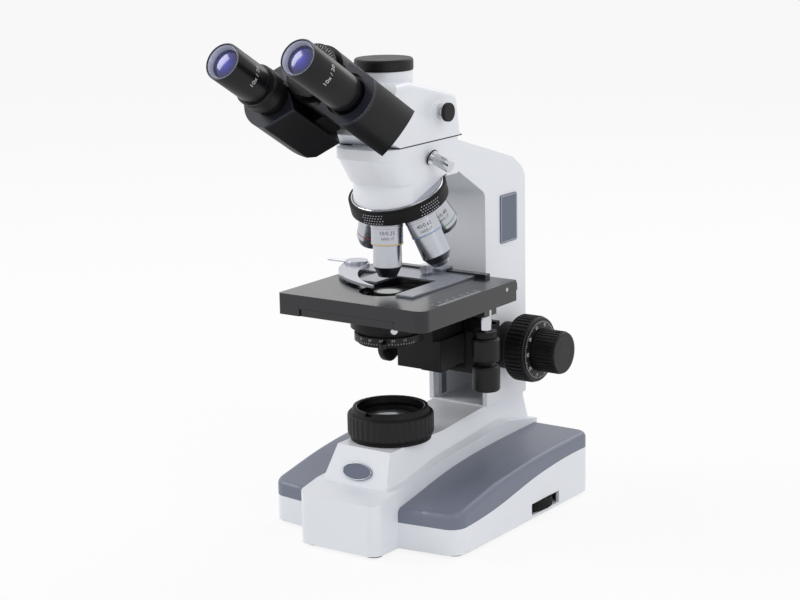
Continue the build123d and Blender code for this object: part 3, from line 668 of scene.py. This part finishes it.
@dataclass
class Illuminator:
    """Field lens with its knurled ring on the spine."""

    radius: float = 34.5

    def build(self) -> None:
        """Dresses the illuminator, with its glass and grip."""
        dress(MOULDED_BLACK, "illuminator_mount", "field_ring")
        dome = [(0.0, 96.7), (9, 96.35), (18, 95.7), (22, 94.6), (24.7, 93.2), (24.7, 92.2), (0.0, 92.2)]
        Form("field_glass").turned(dome, ORIGIN, 96).piece(FIELD_GLASS, "stand", smooth=60)
        ribs = [Ribs(40, 0.72, 82.5, 97.0)]
        grip = [(34.2, 81.4), (34.9, 81.6), (35.3, 82.6), (35.3, 96.6), (34.9, 97.6), (34.2, 97.8)]
        Form("field_grip").turned(grip, ORIGIN, ribs=ribs).piece(KNOB_BLACK, "field", smooth=20)
        lip = [(28.25, 98.2), (28.9, 102.9), (28.25, 103.3), (27.4, 102.9), (27.0, 98.2)]
        Form("field_lip").turned(lip, ORIGIN, 96).piece(BARREL_BLACK, "field")


@dataclass
class Arm:
    """Arm casting with its plate, rails, bushes and clamp screw."""

    def build(self) -> None:
        """Dresses the arm."""
        dress(BODY_WHITE, "arm_casting")
        dress(PLATE_SLATE, "arm_plate")
        dress(SATIN_CHROME, "guide_rails")
        dress(POLISHED, "head_clamp_screw")
        dress(MOULDED_BLACK, "focus_bushes")
        self._plate_edge()
        self._silver_line()
        self._clamp_collar()

    def _plate_edge(self) -> None:
        """Light printed frame of the bare side plate."""
        place = framed((30.2, 135.6, 238.7), (0, 1, 0), (1, 0, 0))
        outer = box_outline(-12.1, 12.1, -19.7, 19.7)
        inner = box_outline(-11.7, 11.7, -19.3, 19.3)
        Form("plate_frame").band(outer, inner, -0.05, 0.06, place).piece(PRINT_WHITE, "stand")

    def _clamp_collar(self) -> None:
        """Dark seal under the clamp screw's washer."""
        place = framed((29.2, 18.2, 307.9), (0, 1, 0), (0.931, 0, -0.365))
        Form("clamp_collar").turned(sleeve(6.2, 2.7, 4.1, 0.35), place, 48).piece(MOULDED_BLACK, "stand")

    def _silver_line(self) -> None:
        """Bright line between the nose and the revolving ring."""
        line = [(36.6, 42.5), (37.3, 42.5), (37.7, 42.8), (37.7, 43.3), (37.3, 43.55), (36.6, 43.55)]
        lip = [(37.6, 43.1), (39.6, 43.1), (39.95, 43.35), (39.6, 43.58), (37.6, 43.58)]
        Form("ring_lip").turned(lip, PIVOT, 96).piece(MOULDED_BLACK, "stand")
        Form("nose_line").turned(line, PIVOT, 96).piece(POLISHED, "stand")


@dataclass(frozen=True)
class Marking:
    """Generic numbers and bands of one objective."""

    node: str
    index: int
    words: tuple[str, ...]
    words_at: float
    words_radius: float
    band: Finish
    band_at: float
    band_radius: float
    grip: tuple[float, float, float]
    facing: float
    taper: tuple[float, float, float, float]
    # How far down the taper the painted shade skin reaches.
    dark_to: float = 1.0


@dataclass
class Nosepiece:
    """Revolving nosepiece with its objectives."""

    ring_radius: float = 40.0
    ring_top: float = 43.6
    ring_band: float = 11.5

    def build(self) -> None:
        """Dresses the nosepiece and marks the objectives."""
        dress(SATIN_CHROME, "nosepiece_mount", "objective_4x", "objective_10x", "objective_20x", "objective_40x")
        dress(MOULDED_BLACK, "nosepiece_turret", "port_plug")
        self._knurl()
        for mark in (
            Marking(
                "objective_10x", 0, ("10/0.25", "160/0.17"), 6.4, 12.85, BAND_YELLOW, 15.9, 12.85,
                (12.85, 0.8, 3.0), 54.7, (11.5, 34.7, 7.4, 43.2), 0.96,
            ),
            Marking(
                "objective_40x", 1, ("40/0.65", "160/0.17"), 6.4, 12.85, BAND_BLUE, 14.3, 12.85,
                (12.85, 0.8, 3.0), 118.0, (12.1, 34.0, 6.2, 43.4), 0.6,
            ),
            Marking(
                "objective_20x", 2, ("20/0.40", "160/0.17"), 12.0, 12.85, BAND_GREEN, 22.4, 12.85,
                (12.85, 2.0, 5.0), 178.0, (12.85, 26.0, 9.5, 31.0), 0.9,
            ),
            Marking(
                "objective_4x", 4, ("4/0.10", "160/-"), 9.0, 12.4, BAND_RED, 20.2, 12.4,
                (12.4, 0.8, 3.0), -10.0, (12.4, 24.0, 9.6, 30.5), 0.9,
            ),
        ):
            self._mark(mark)
        self._fronts()

    def _knurl(self) -> None:
        """Rows of small pyramids round the ring, in light grey that paints the glints on their tips."""
        form = Form("ring_knurl")
        rows = 4
        pitch = (self.ring_band - 2.2) / rows
        for patch in range(5):
            for step in range(8 * rows):
                row, column = step % rows, step // rows
                turn = 16 + 72 * patch + 3.5 * (column - 3.5 + 0.5 * (row % 2))
                height = self.ring_top + 1.2 + pitch * (row + 0.5)
                place = PIVOT @ turn_z(turn) @ Matrix.Translation(Vector((self.ring_radius, 0, height)))
                form.prism(box_outline(-0.3, 0.35, -0.45, 0.45), -0.38, 0.38, place)
        form.softened(0.1)
        form.piece(KNURL_GLINT, "nosepiece", smooth=15)

    def _mark(self, mark: Marking) -> None:
        """Adds the numbers, colour band and grip of one objective."""
        place = port(mark.index)
        text = Form(mark.node + "_numbers")
        for turn in (mark.facing, mark.facing + 180):
            for line, word in enumerate(mark.words):
                size = 4.4 if line == 0 else 3.2
                text.words(word, size, 0.06, wrapped(place, mark.words_radius, turn, mark.words_at + 4.4 * line, -1.0))
        text.piece(PRINT_AND_SHADE_BLACK, "nosepiece")
        band = sleeve(mark.band_radius, mark.band_at - 0.35, mark.band_at + 0.35, 0.06)
        Form(mark.node + "_band").turned(band, place, 64).piece(mark.band, "nosepiece")
        self._taper(mark, place)
        radius, low, high = mark.grip
        ribs = [Ribs(72, 0.2, low + 0.2, high - 0.2)]
        Form(mark.node + "_grip").turned(sleeve(radius, low, high, 0.25), place, ribs=ribs).piece(
            SATIN_CHROME, "nosepiece", smooth=15
        )

    def _taper(self, mark: Marking, place: Matrix) -> None:
        """Painted shade: a darker metal skin over the taper at the objective's lower end."""
        near, high, far, low = mark.taper
        end = near + (far - near) * mark.dark_to
        foot = high + (low - high) * mark.dark_to
        skin = [(near + 0.04, high), (end + 0.04, foot), (end - 0.5, foot), (near - 0.5, high)]
        Form(mark.node + "_taper").turned(skin, place, 64).piece(TAPER_SHADE_GREY, "nosepiece")

    def _fronts(self) -> None:
        """Tip rings and front lenses at the objectives' ends."""
        for name, index, radius, low in (
            ("objective_10x", 0, 7.4, 43.2),
            ("objective_40x", 1, 6.2, 43.4),
            ("objective_20x", 2, 9.5, 31.0),
            ("objective_4x", 4, 9.6, 30.5),
        ):
            place = port(index)
            front = [(0.0, low - 0.5), (3.4, low - 0.35), (3.4, low - 2.4), (0.0, low - 2.4)]
            Form(name + "_lens").turned(front, place, 32).piece(EYE_GLASS, "nosepiece", smooth=60)
            tip = [(radius - 1.6, low - 0.1), (radius - 0.4, low - 0.1), (radius + 0.1, low - 0.9), (radius - 1.8, low - 0.9)]
            Form(name + "_tip").turned(tip, place, 48).piece(POLISHED, "nosepiece")


@dataclass
class Head:
    """Trinocular head with its spacing dial and camera port cap."""

    hub: Matrix = None
    dial_radius: float = 21.3

    def __post_init__(self) -> None:
        """Works out the hub's frame."""
        self.hub = framed((0, -148.19, 417.21), (1, 0, 0), (0, math.sin(math.radians(60)), -math.cos(math.radians(60))))

    def build(self) -> None:
        """Dresses the head and prints the dial."""
        dress(BODY_WHITE, "head_casting")
        dress(BLACK_SATIN, "beam_rod", "interpupillary_hub", "photo_port_cap")
        dress(GLASS_BLOCK, "beam_prism")
        self._dial()
        self._cap_rim()
        self._rod_end()
        self._gasket()

    def _gasket(self) -> None:
        """Dark line where the head sits on the arm."""
        form = Form("head_gasket")
        form.prism(box_outline(-29.1, 29.1, -21.6, 66.1), 318.06, 318.98, ORIGIN)
        form.piece(MOULDED_BLACK, "head")

    def _dial(self) -> None:
        """Ticks and numbers of the spacing scale."""
        form = Form("spacing_scale")
        for step in range(-8, 9):
            turn = math.radians(-90 + 7.5 * step)
            inner = 17.4 if step % 2 == 0 else 18.6
            place = self.hub @ Matrix.Rotation(turn, 4, "Z")
            form.prism(box_outline(inner, 20.6, -0.16, 0.16), 61.93, 62.05, place)
        for step, word in zip((-6, -2, 2, 6), ("55", "60", "65", "70")):
            turn = math.radians(-90 + 7.5 * step)
            flat = self.hub @ Matrix.Rotation(turn, 4, "Z") @ Matrix.Translation(Vector((14.8, 0, 62)))
            spin = flat @ Matrix.Rotation(math.pi / 2, 4, "Z") @ Matrix.Rotation(math.pi, 4, "Y")
            form.words(word, 3.2, 0.06, lambda p, m=spin: m @ p)
        form.piece(PRINT_WHITE, "head")
        dot = [(0.0, 69.9), (1.0, 69.9), (1.0, 70.05), (0.0, 70.05)]
        at = self.hub @ turn_z(-90) @ Matrix.Translation(Vector((22.7, 0, 0)))
        Form("index_dot").turned(dot, at, 20).piece(PRINT_WHITE, "right_tube")
        centre = [(0.0, 61.7), (4.6, 61.7), (5.2, 61.9), (5.2, 62.2), (0.0, 62.2)]
        Form("dial_button").turned(centre, self.hub, 48).piece(BARREL_BLACK, "head")
        rim = [(20.7, 61.8), (21.35, 61.8), (21.35, 64.3), (20.7, 64.3)]
        Form("dial_rim").turned(rim, self.hub, 96).piece(BLACK_SATIN, "head")

    def _cap_rim(self) -> None:
        """Grip ribs and rim of the camera port's cap."""
        ribs = [Ribs(80, 0.16, 378.0, 383.4)]
        Form("cap_grip").turned(sleeve(23.2, 377.6, 383.8, 0.2), ORIGIN, ribs=ribs).piece(KNOB_BLACK, "cap", smooth=15)
        rim = [(21.6, 385.2), (22.3, 385.35), (22.3, 385.5), (21.6, 385.55), (21.2, 385.35)]
        Form("cap_rim").turned(rim, ORIGIN, 96).piece(BLACK_SATIN, "cap")

    def _rod_end(self) -> None:
        """Grip of the pull rod's knob and the collar on the head."""
        axis = framed((0, 30.5, 341.5), (0, 1, 0), (1, 0, 0))
        Form("rod_sleeve").turned(sleeve(3.0, 32.4, 37.9, 0.35), axis, 40).piece(POLISHED, "beam_slider")
        ribs = [Ribs(36, 0.2, 38.4, 41.2)]
        Form("rod_grip").turned(sleeve(7.3, 38.3, 41.3, 0.22), axis, ribs=ribs).piece(KNOB_BLACK, "beam_slider", smooth=15)


class Side(Enum):
    """Which eye a tube serves."""

    RIGHT = 1
    LEFT = -1


@dataclass
class EyeTube:
    """Swinging housing with its plate, barrel and eye lens."""

    side: Side
    swing: float
    arm_length: float = 38.79

    def build(self) -> None:
        """Dresses one tube and adds its glass and rings."""
        name = self.side.name.lower()
        dress(BLACK_SATIN, f"{name}_tube_housing")
        dress(TUBE_SLATE, f"{name}_face_plate")
        dress(GLASS_BLOCK, f"{name}_prism")
        if self.side is Side.LEFT:
            dress(KNOB_BLACK, "diopter_ring")
        self._plate_edge(name)
        self._eyepiece(name)

    def frame(self) -> Matrix:
        """Frame on the hub axis with X towards this tube's axis."""
        down = Vector((0, math.sin(math.radians(60)), -math.cos(math.radians(60))))
        lift = Vector((0, math.sin(math.radians(30)), math.cos(math.radians(30))))
        swing = math.radians(self.swing)
        arm = Vector((self.side.value * math.cos(swing), 0, 0)) - lift * math.sin(swing)
        return framed((0, -148.19, 417.21), arm, down)

    def axis(self) -> Matrix:
        """Frame on the tube's own axis."""
        return self.frame() @ Matrix.Translation(Vector((self.arm_length, 0, 0)))

    def outline(self, inset: float) -> Profile:
        """Outline of the housing across the tube."""
        near, half, radius = 24.3 + inset, 21.0 - inset, 25.0 - inset
        start = math.asin(half / radius)
        arc = [start * (k / 8 - 1) for k in range(17)]
        points = [(self.arm_length + radius * math.cos(t), radius * math.sin(t)) for t in arc]
        return points + [(near, half), (near, -half)]

    def _plate_edge(self, name: str) -> None:
        """Thin light edge line of the plate."""
        form = Form(f"{name}_plate_edge")
        form.band(self.outline(-0.04), self.outline(0.2), 65.5, 65.7, self.frame())
        form.piece(EDGE_LINE, f"{name}_tube")

    def _eyepiece(self, name: str) -> None:
        """Coated lens, bevel ring, grip rings and numbers."""
        axis = self.axis()
        body = f"{name}_eyepiece"
        dome = [(0.0, 3.3), (4, 3.45), (8, 4.1), (11.2, 5.1), (11.2, 7.4), (0.0, 7.4)]
        Form(f"eyepiece_{name}_glass").turned(dome, axis, 64).piece(
            EYE_GLASS, body, f"eyepiece_{name}_lens", smooth=60
        )
        rim = [(10.9, 7.4), (13.0, 4.6), (13.25, 0.5), (13.7, 0.1), (14.25, 0.1), (14.8, 0.85)]
        if self.side is Side.RIGHT:
            foot = [(14.8, 90.9), (13.2, 90.9), (13.2, 9.0)]
        else:
            foot = [(14.8, 46.2), (13.6, 46.2), (13.6, 84.0), (10.0, 84.0), (10.0, 40.0), (13.2, 36.0), (13.2, 9.0)]
        barrel = Form(f"eyepiece_{name}_barrel").turned(rim + foot, axis, 96)
        barrel.piece(BARREL_BLACK, body, f"eyepiece_{name}", smooth=40)
        bevel = [(13.2, 0.75), (12.9, 0.95), (11.3, 5.0), (11.3, 5.3), (13.2, 5.0)]
        Form(f"eyepiece_{name}_bevel").turned(bevel, axis, 72).piece(EYE_BEVEL, body)
        line = [(13.9, 0.06), (14.0, 0.0), (14.2, 0.0), (14.4, 0.27), (14.2, 0.4), (13.9, 0.4)]
        Form(f"eyepiece_{name}_line").turned(line, axis, 96).piece(EDGE_LINE, body)
        rings = Form(f"eyepiece_{name}_rings")
        for at in (38.6, 42.0) if self.side is Side.LEFT else (58.6, 61.4):
            rings.turned(sleeve(14.8, at, at + 0.9, 0.3), axis, 72)
        rings.piece(BARREL_BLACK, body)
        text = Form(f"eyepiece_{name}_numbers")
        facing = -14.0 if self.side is Side.RIGHT else -142.0
        for turn in (facing, facing + 180):
            text.words("10x / 20", 5.4, 0.06, wrapped(axis, 14.82, turn, 25.0, -1.0))
        text.piece(PRINT_WHITE, body)
        if self.side is Side.LEFT:
            ribs = [Ribs(60, 0.2, 47.6, 55.4)]
            grip = Form("diopter_grip").turned(sleeve(16.75, 47.2, 55.8, 0.25), axis, ribs=ribs)
            grip.piece(KNOB_BLACK, "diopter", smooth=15)


@dataclass
class FocusDrive:
    """Coarse and fine knobs with the focus carrier."""

    coarse_radius: float = 27.5
    fine_radius: float = 17.5

    def build(self) -> None:
        """Dresses the focus drive."""
        dress(KNOB_BLACK, "coarse_focus_knobs", "fine_focus_knobs")
        dress(BLACK_SATIN, "focus_carrier")
        dress(BRASS, "focus_rack")
        self._grips()
        self._scale()

    def _grips(self) -> None:
        """Ribs round the four knobs."""
        coarse = Form("coarse_grips")
        for low, high in ((45.2, 60.6), (-51.4, -36.6)):
            ribs = [Ribs(46, 1.4, low + 0.4, high - 0.4)]
            coarse.turned(sleeve(self.coarse_radius, low, high, 0.85, 0.9), FOCUS_AXIS, ribs=ribs)
        coarse.piece(KNOB_BLACK, "coarse", smooth=20)
        fine = Form("fine_grips")
        for low, high in ((66.6, 85.4), (-69.2, -55.6)):
            ribs = [Ribs(34, 1.2, low + 0.4, high - 0.4)]
            fine.turned(sleeve(self.fine_radius, low, high, 0.7, 0.9), FOCUS_AXIS, ribs=ribs)
        fine.turned([(10.8, 87.4), (11.4, 87.62), (12.0, 87.4), (12.0, 87.2), (10.8, 87.2)], FOCUS_AXIS, 64)
        fine.turned([(10.8, -71.12), (11.4, -71.3), (12.0, -71.12), (12.0, -70.9), (10.8, -70.9)], FOCUS_AXIS, 64)
        fine.piece(KNOB_BLACK, "fine", smooth=20)

    def _scale(self) -> None:
        """White scale on the outer face of the right coarse knob."""
        form = Form("focus_scale")
        ring = 64.6
        collar = [(18.2, 63.2), (24.6, 63.2), (24.6, ring - 0.9), (20.4, ring), (18.2, ring)]
        Form("scale_collar").turned(collar, FOCUS_AXIS, 96).piece(KNOB_BLACK, "coarse")
        for step in range(100):
            place = FOCUS_AXIS @ turn_z(3.6 * step)
            inner = 22.6 if step % 5 == 0 else 23.4
            form.prism(box_outline(inner, 24.5, -0.13, 0.13), ring - 0.62, ring - 0.3, slanted(place))
        for step in range(10):
            flat = FOCUS_AXIS @ turn_z(36 * step) @ Matrix.Translation(Vector((21.3, 0, ring + 0.02)))
            spin = flat @ turn_z(90)
            form.words(str(step * 10), 3.6, 0.06, lambda p, m=spin: m @ Vector((p.x, p.y, p.z - 0.2 - 0.214 * (0.0 - p.y))))
        form.piece(PRINT_WHITE, "coarse")


def slanted(place: Matrix) -> Placing:
    """Placing that follows the scale collar's cone."""
    return lambda p: place @ Vector((p.x, p.y, p.z - (p.x - 22.5) * 0.214))


@dataclass
class Stage:
    """Mechanical stage with its slide rest, clip and drive knobs."""

    top: float = 199.6
    edge_x: float = 70.0

    def build(self) -> None:
        """Dresses the stage."""
        dress(STAGE_DARK, "stage_upper_plate", "stage_lower_plate")
        dress(REST_GREY, "slide_holder")
        dress(SATIN_CHROME, "clip_finger")
        dress(KNOB_BLACK, "stage_x_knob", "stage_y_knob")
        self._ruler()
        self._front_strip()
        self._screw_and_cap()
        self._knob_ribs()
        self._fasteners()

    def _ruler(self) -> None:
        """White scale on the right edge of the plate."""
        form = Form("stage_ruler")
        for step in range(61):
            y = -28 + step
            reach = 3.6 if step % 10 == 0 else 2.6 if step % 5 == 0 else 1.6
            tick = box_outline(self.edge_x - 2.3 - reach, self.edge_x - 2.2, y - 0.16, y + 0.16)
            form.prism(tick, self.top, self.top + 0.06, ORIGIN)
        form.prism(box_outline(self.edge_x - 2.4, self.edge_x - 1.9, -28, 32), self.top, self.top + 0.06, ORIGIN)
        for step in range(0, 61, 10):
            flat = Matrix.Translation(Vector((self.edge_x - 8.2, -28 + step, self.top)))
            spin = flat @ turn_z(90)
            form.words(str(step), 2.8, 0.06, lambda p, m=spin: m @ p)
        form.piece(PRINT_WHITE, "stage_top")

    def _front_strip(self) -> None:
        """Painted shade: dark lines round the recessed strip in the stage's front."""
        form = Form("stage_front_painted_shade")
        place = framed((0, -53.6, 0), (1, 0, 0), (0, -1, 0))
        for x0, x1, z0, z1 in ((-49.9, 42.5, 188.2, 188.9), (-50.0, -49.2, 182.4, 188.9), (41.8, 42.6, 182.4, 188.9)):
            form.prism(box_outline(x0, x1, z0, z1), -0.2, 0.12, place)
        form.piece(PRINT_AND_SHADE_BLACK, "stage_top")

    def _screw_and_cap(self) -> None:
        """Chrome thumb screw and clip cap."""
        screw = Matrix.Translation(Vector((-2, 58, 0)))
        shape = [(4.6, 202.7), (5.2, 203.1), (5.2, 208.8), (4.6, 209.5), (0.0, 209.5)]
        ribs = [Ribs(24, 0.35, 203.0, 208.9, 4.9)]
        Form("slide_screw").turned([(0.0, 202.7)] + shape, screw, ribs=ribs).piece(POLISHED, "slide_carriage", smooth=20)
        hub = Matrix.Translation(Vector((-70, 54, 0)))
        cap = [(0.0, 204.35), (9.6, 204.35), (9.65, 206.2), (8.9, 206.95), (0.0, 206.95)]
        Form("clip_cap").turned(cap, hub, 64).piece(SATIN_CHROME, "clip")

    def _knob_ribs(self) -> None:
        """Ribs round both drive knobs."""
        shaft = Form("stage_shaft").turned(sleeve(4.5, 160.2, 182.3, 0.3), STAGE_DRIVE, 48)
        shaft.piece(POLISHED, "y_knob", smooth=40)
        for name, low, high, body in (("y_knob_ribs", 136.4, 152.8, "y_knob"), ("x_knob_ribs", 111.4, 129.6, "x_knob")):
            ribs = [Ribs(36, 0.4, low + 0.4, high - 0.4)]
            Form(name).turned(sleeve(11, low, high, 0.45), STAGE_DRIVE, ribs=ribs).piece(KNOB_BLACK, body, smooth=20)

    def _fasteners(self) -> None:
        """Small screw in the stage's edge and on the rail."""
        form = Form("stage_screws")
        side = framed((self.edge_x, 68, 194), (0, 1, 0), (1, 0, 0))
        form.turned([(0.0, 0.25), (1.2, 0.25), (1.7, 0.0), (1.7, -0.3), (0.0, -0.3)], side, 24)
        for x in (-48, 36):
            at = Matrix.Translation(Vector((x, 76.5, 202.8)))
            form.turned([(1.1, 0.02), (2.2, 0.02), (2.5, -0.2), (1.1, -0.2)], at, 24)
        form.piece(SATIN_CHROME, "stage_top")


@dataclass
class Condenser:
    """Condenser with its carrier, aperture ring and knob."""

    radius: float = 25.0

    def build(self) -> None:
        """Dresses the condenser."""
        dress(BLACK_SATIN, "condenser_carrier", "condenser")
        dress(KNOB_BLACK, "iris_ring", "condenser_knob")
        dress(FIELD_GLASS, "condenser_lens")
        self._scale()
        self._knob()

    def _scale(self) -> None:
        """Aperture scale of the ring and the condenser's chrome screw."""
        form = Form("aperture_scale")
        for step in range(25):
            turn = -130 + 5 * step
            high = 1.6 if step % 4 == 0 else 1.0
            place = turn_z(turn)
            form.prism(box_outline(27.95, 28.1, -0.16, 0.16), 160.0, 160.0 + high, place)
        for step, word in enumerate(("0.1", "0.3", "0.5", "0.7", "0.9", "1.2")):
            form.words(word, 2.3, 0.05, wrapped(ORIGIN, 28.0, -128 + 20 * step, 163.4))
        form.piece(PRINT_WHITE, "iris")
        screw = framed((20.6, -23.2, 174), (0, 0, 1), (0.664, -0.748, 0))
        shape = [(0.0, 7.2), (2.6, 7.2), (3.0, 6.7), (3.0, 3.0), (1.6, 2.6), (1.6, -0.4), (0.0, -0.4)]
        ribs = [Ribs(18, 0.25, 3.1, 6.9, 2.4)]
        Form("condenser_screw").turned(shape, screw, ribs=ribs).piece(POLISHED, "condenser_block", smooth=20)

    def _knob(self) -> None:
        """Ribs of the height knob."""
        ribs = [Ribs(40, 0.35, -40.2, -36.0)]
        Form("condenser_knob_ribs").turned(sleeve(13.3, -40.6, -35.6, 0.4), CONDENSER_AXIS, ribs=ribs).piece(
            KNOB_BLACK, "condenser_pinion", smooth=20
        )


@dataclass
class Studio:
    """Pale floor, soft lamps and the camera."""

    place: tuple[float, float, float] = (0.94811, -1.33871, 0.56493)
    aim: tuple[float, float, float] = (0.01143, 0.0, 0.19222)
    roll: float = -1.06
    focal: float = 94.185
    surround: float = 0.62

    def build(self) -> None:
        """Sets up the floor, lights and camera."""
        scene = bpy.context.scene
        scene.view_settings.view_transform = "Standard"
        self._floor()
        self._world()
        self._lamp("key", (-1.5, -0.7, 1.5), 0.9, 13.0)
        self._lamp("fill", (1.5, -0.5, 1.1), 1.0, 5.5)
        self._lamp("back", (0.2, 1.5, 1.4), 1.0, 7.0)
        self._camera()

    def _floor(self) -> None:
        """Pale floor that keeps the object's shadow."""
        board = Board("floor")
        diffuse = board.node("ShaderNodeBsdfDiffuse", None, {"Color": (0.92, 0.92, 0.92, 1)})
        glow = board.node("ShaderNodeEmission", None, {"Color": (1, 1, 1, 1), "Strength": 1.0})
        both = board.node("ShaderNodeMixShader", None, {0: backdrop_rays(board) * 0.85, 1: diffuse, 2: glow})
        mesh = bpy.data.meshes.new("floor")
        half = 14.0
        mesh.from_pydata([(-half, -half, 0), (half, -half, 0), (half, half, 0), (-half, half, 0)], [], [(0, 1, 2, 3)])
        mesh.materials.append(board.close(both))
        floor = bpy.data.objects.new("floor", mesh)
        bpy.context.scene.collection.objects.link(floor)

    def _world(self) -> None:
        """Even pale surroundings."""
        world = bpy.data.worlds.new("studio")
        world.use_nodes = True
        board = Board.over(world.node_tree)
        seen = backdrop_rays(board)
        lit = board.node("ShaderNodeBackground", None, {"Color": (1, 1, 1, 1), "Strength": self.surround})
        white = board.node("ShaderNodeBackground", None, {"Color": (1, 1, 1, 1), "Strength": 1.0})
        both = board.node("ShaderNodeMixShader", None, {0: seen, 1: lit, 2: white})
        board.node("ShaderNodeOutputWorld", None, {"Surface": both})
        bpy.context.scene.world = world

    def _lamp(self, name: str, at: tuple[float, float, float], size: float, power: float) -> None:
        """Adds one soft square lamp that faces the object."""
        data = bpy.data.lights.new(name, "AREA")
        data.size = size
        data.energy = power
        lamp = bpy.data.objects.new(name, data)
        lamp.matrix_world = aimed(Vector(at), Vector((0, 0, 0.2)), 0.0)
        bpy.context.scene.collection.objects.link(lamp)

    def _camera(self) -> None:
        """Camera at the photograph's angle."""
        data = bpy.data.cameras.new("camera")
        data.sensor_width = 36.0
        data.lens = self.focal
        camera = bpy.data.objects.new("camera", data)
        camera.matrix_world = aimed(Vector(self.place), Vector(self.aim), self.roll)
        bpy.context.scene.collection.objects.link(camera)
        bpy.context.scene.camera = camera


def backdrop_rays(board: Board) -> Signal:
    """One for the rays that show the background: camera, glossy and transmission rays."""
    rays = [board.node("ShaderNodeLightPath", output=f"Is {kind} Ray") for kind in ("Camera", "Glossy", "Transmission")]
    return (rays[0] + rays[1] + rays[2]).clamped()


def aimed(place: Vector, aim: Vector, roll: float) -> Matrix:
    """World matrix of a lamp or camera.

    Args:
        place: Where it stands.
        aim: Point it looks at.
        roll: Turn about its own view, in degrees.

    Returns:
        The matrix.
    """
    ahead = (aim - place).normalized()
    right = ahead.cross(Vector((0, 0, 1))).normalized()
    up = right.cross(ahead)
    turn = math.radians(roll)
    across = right * math.cos(turn) + up * math.sin(turn)
    above = up * math.cos(turn) - right * math.sin(turn)
    return Matrix.Translation(place) @ Matrix((across, above, -ahead)).transposed().to_4x4()


def main() -> None:
    """Builds every sub-assembly in order."""
    logging.basicConfig(level=logging.INFO, format="%(name)s: %(message)s")
    parts = [
        Base(),
        Illuminator(),
        Arm(),
        Nosepiece(),
        Head(),
        EyeTube(Side.RIGHT, 24.5),
        EyeTube(Side.LEFT, 35.86),
        FocusDrive(),
        Stage(),
        Condenser(),
        Studio(),
    ]
    for part in parts:
        LOG.info("building %s", type(part).__name__)
        part.build()


if __name__ == "__main__":
    main()
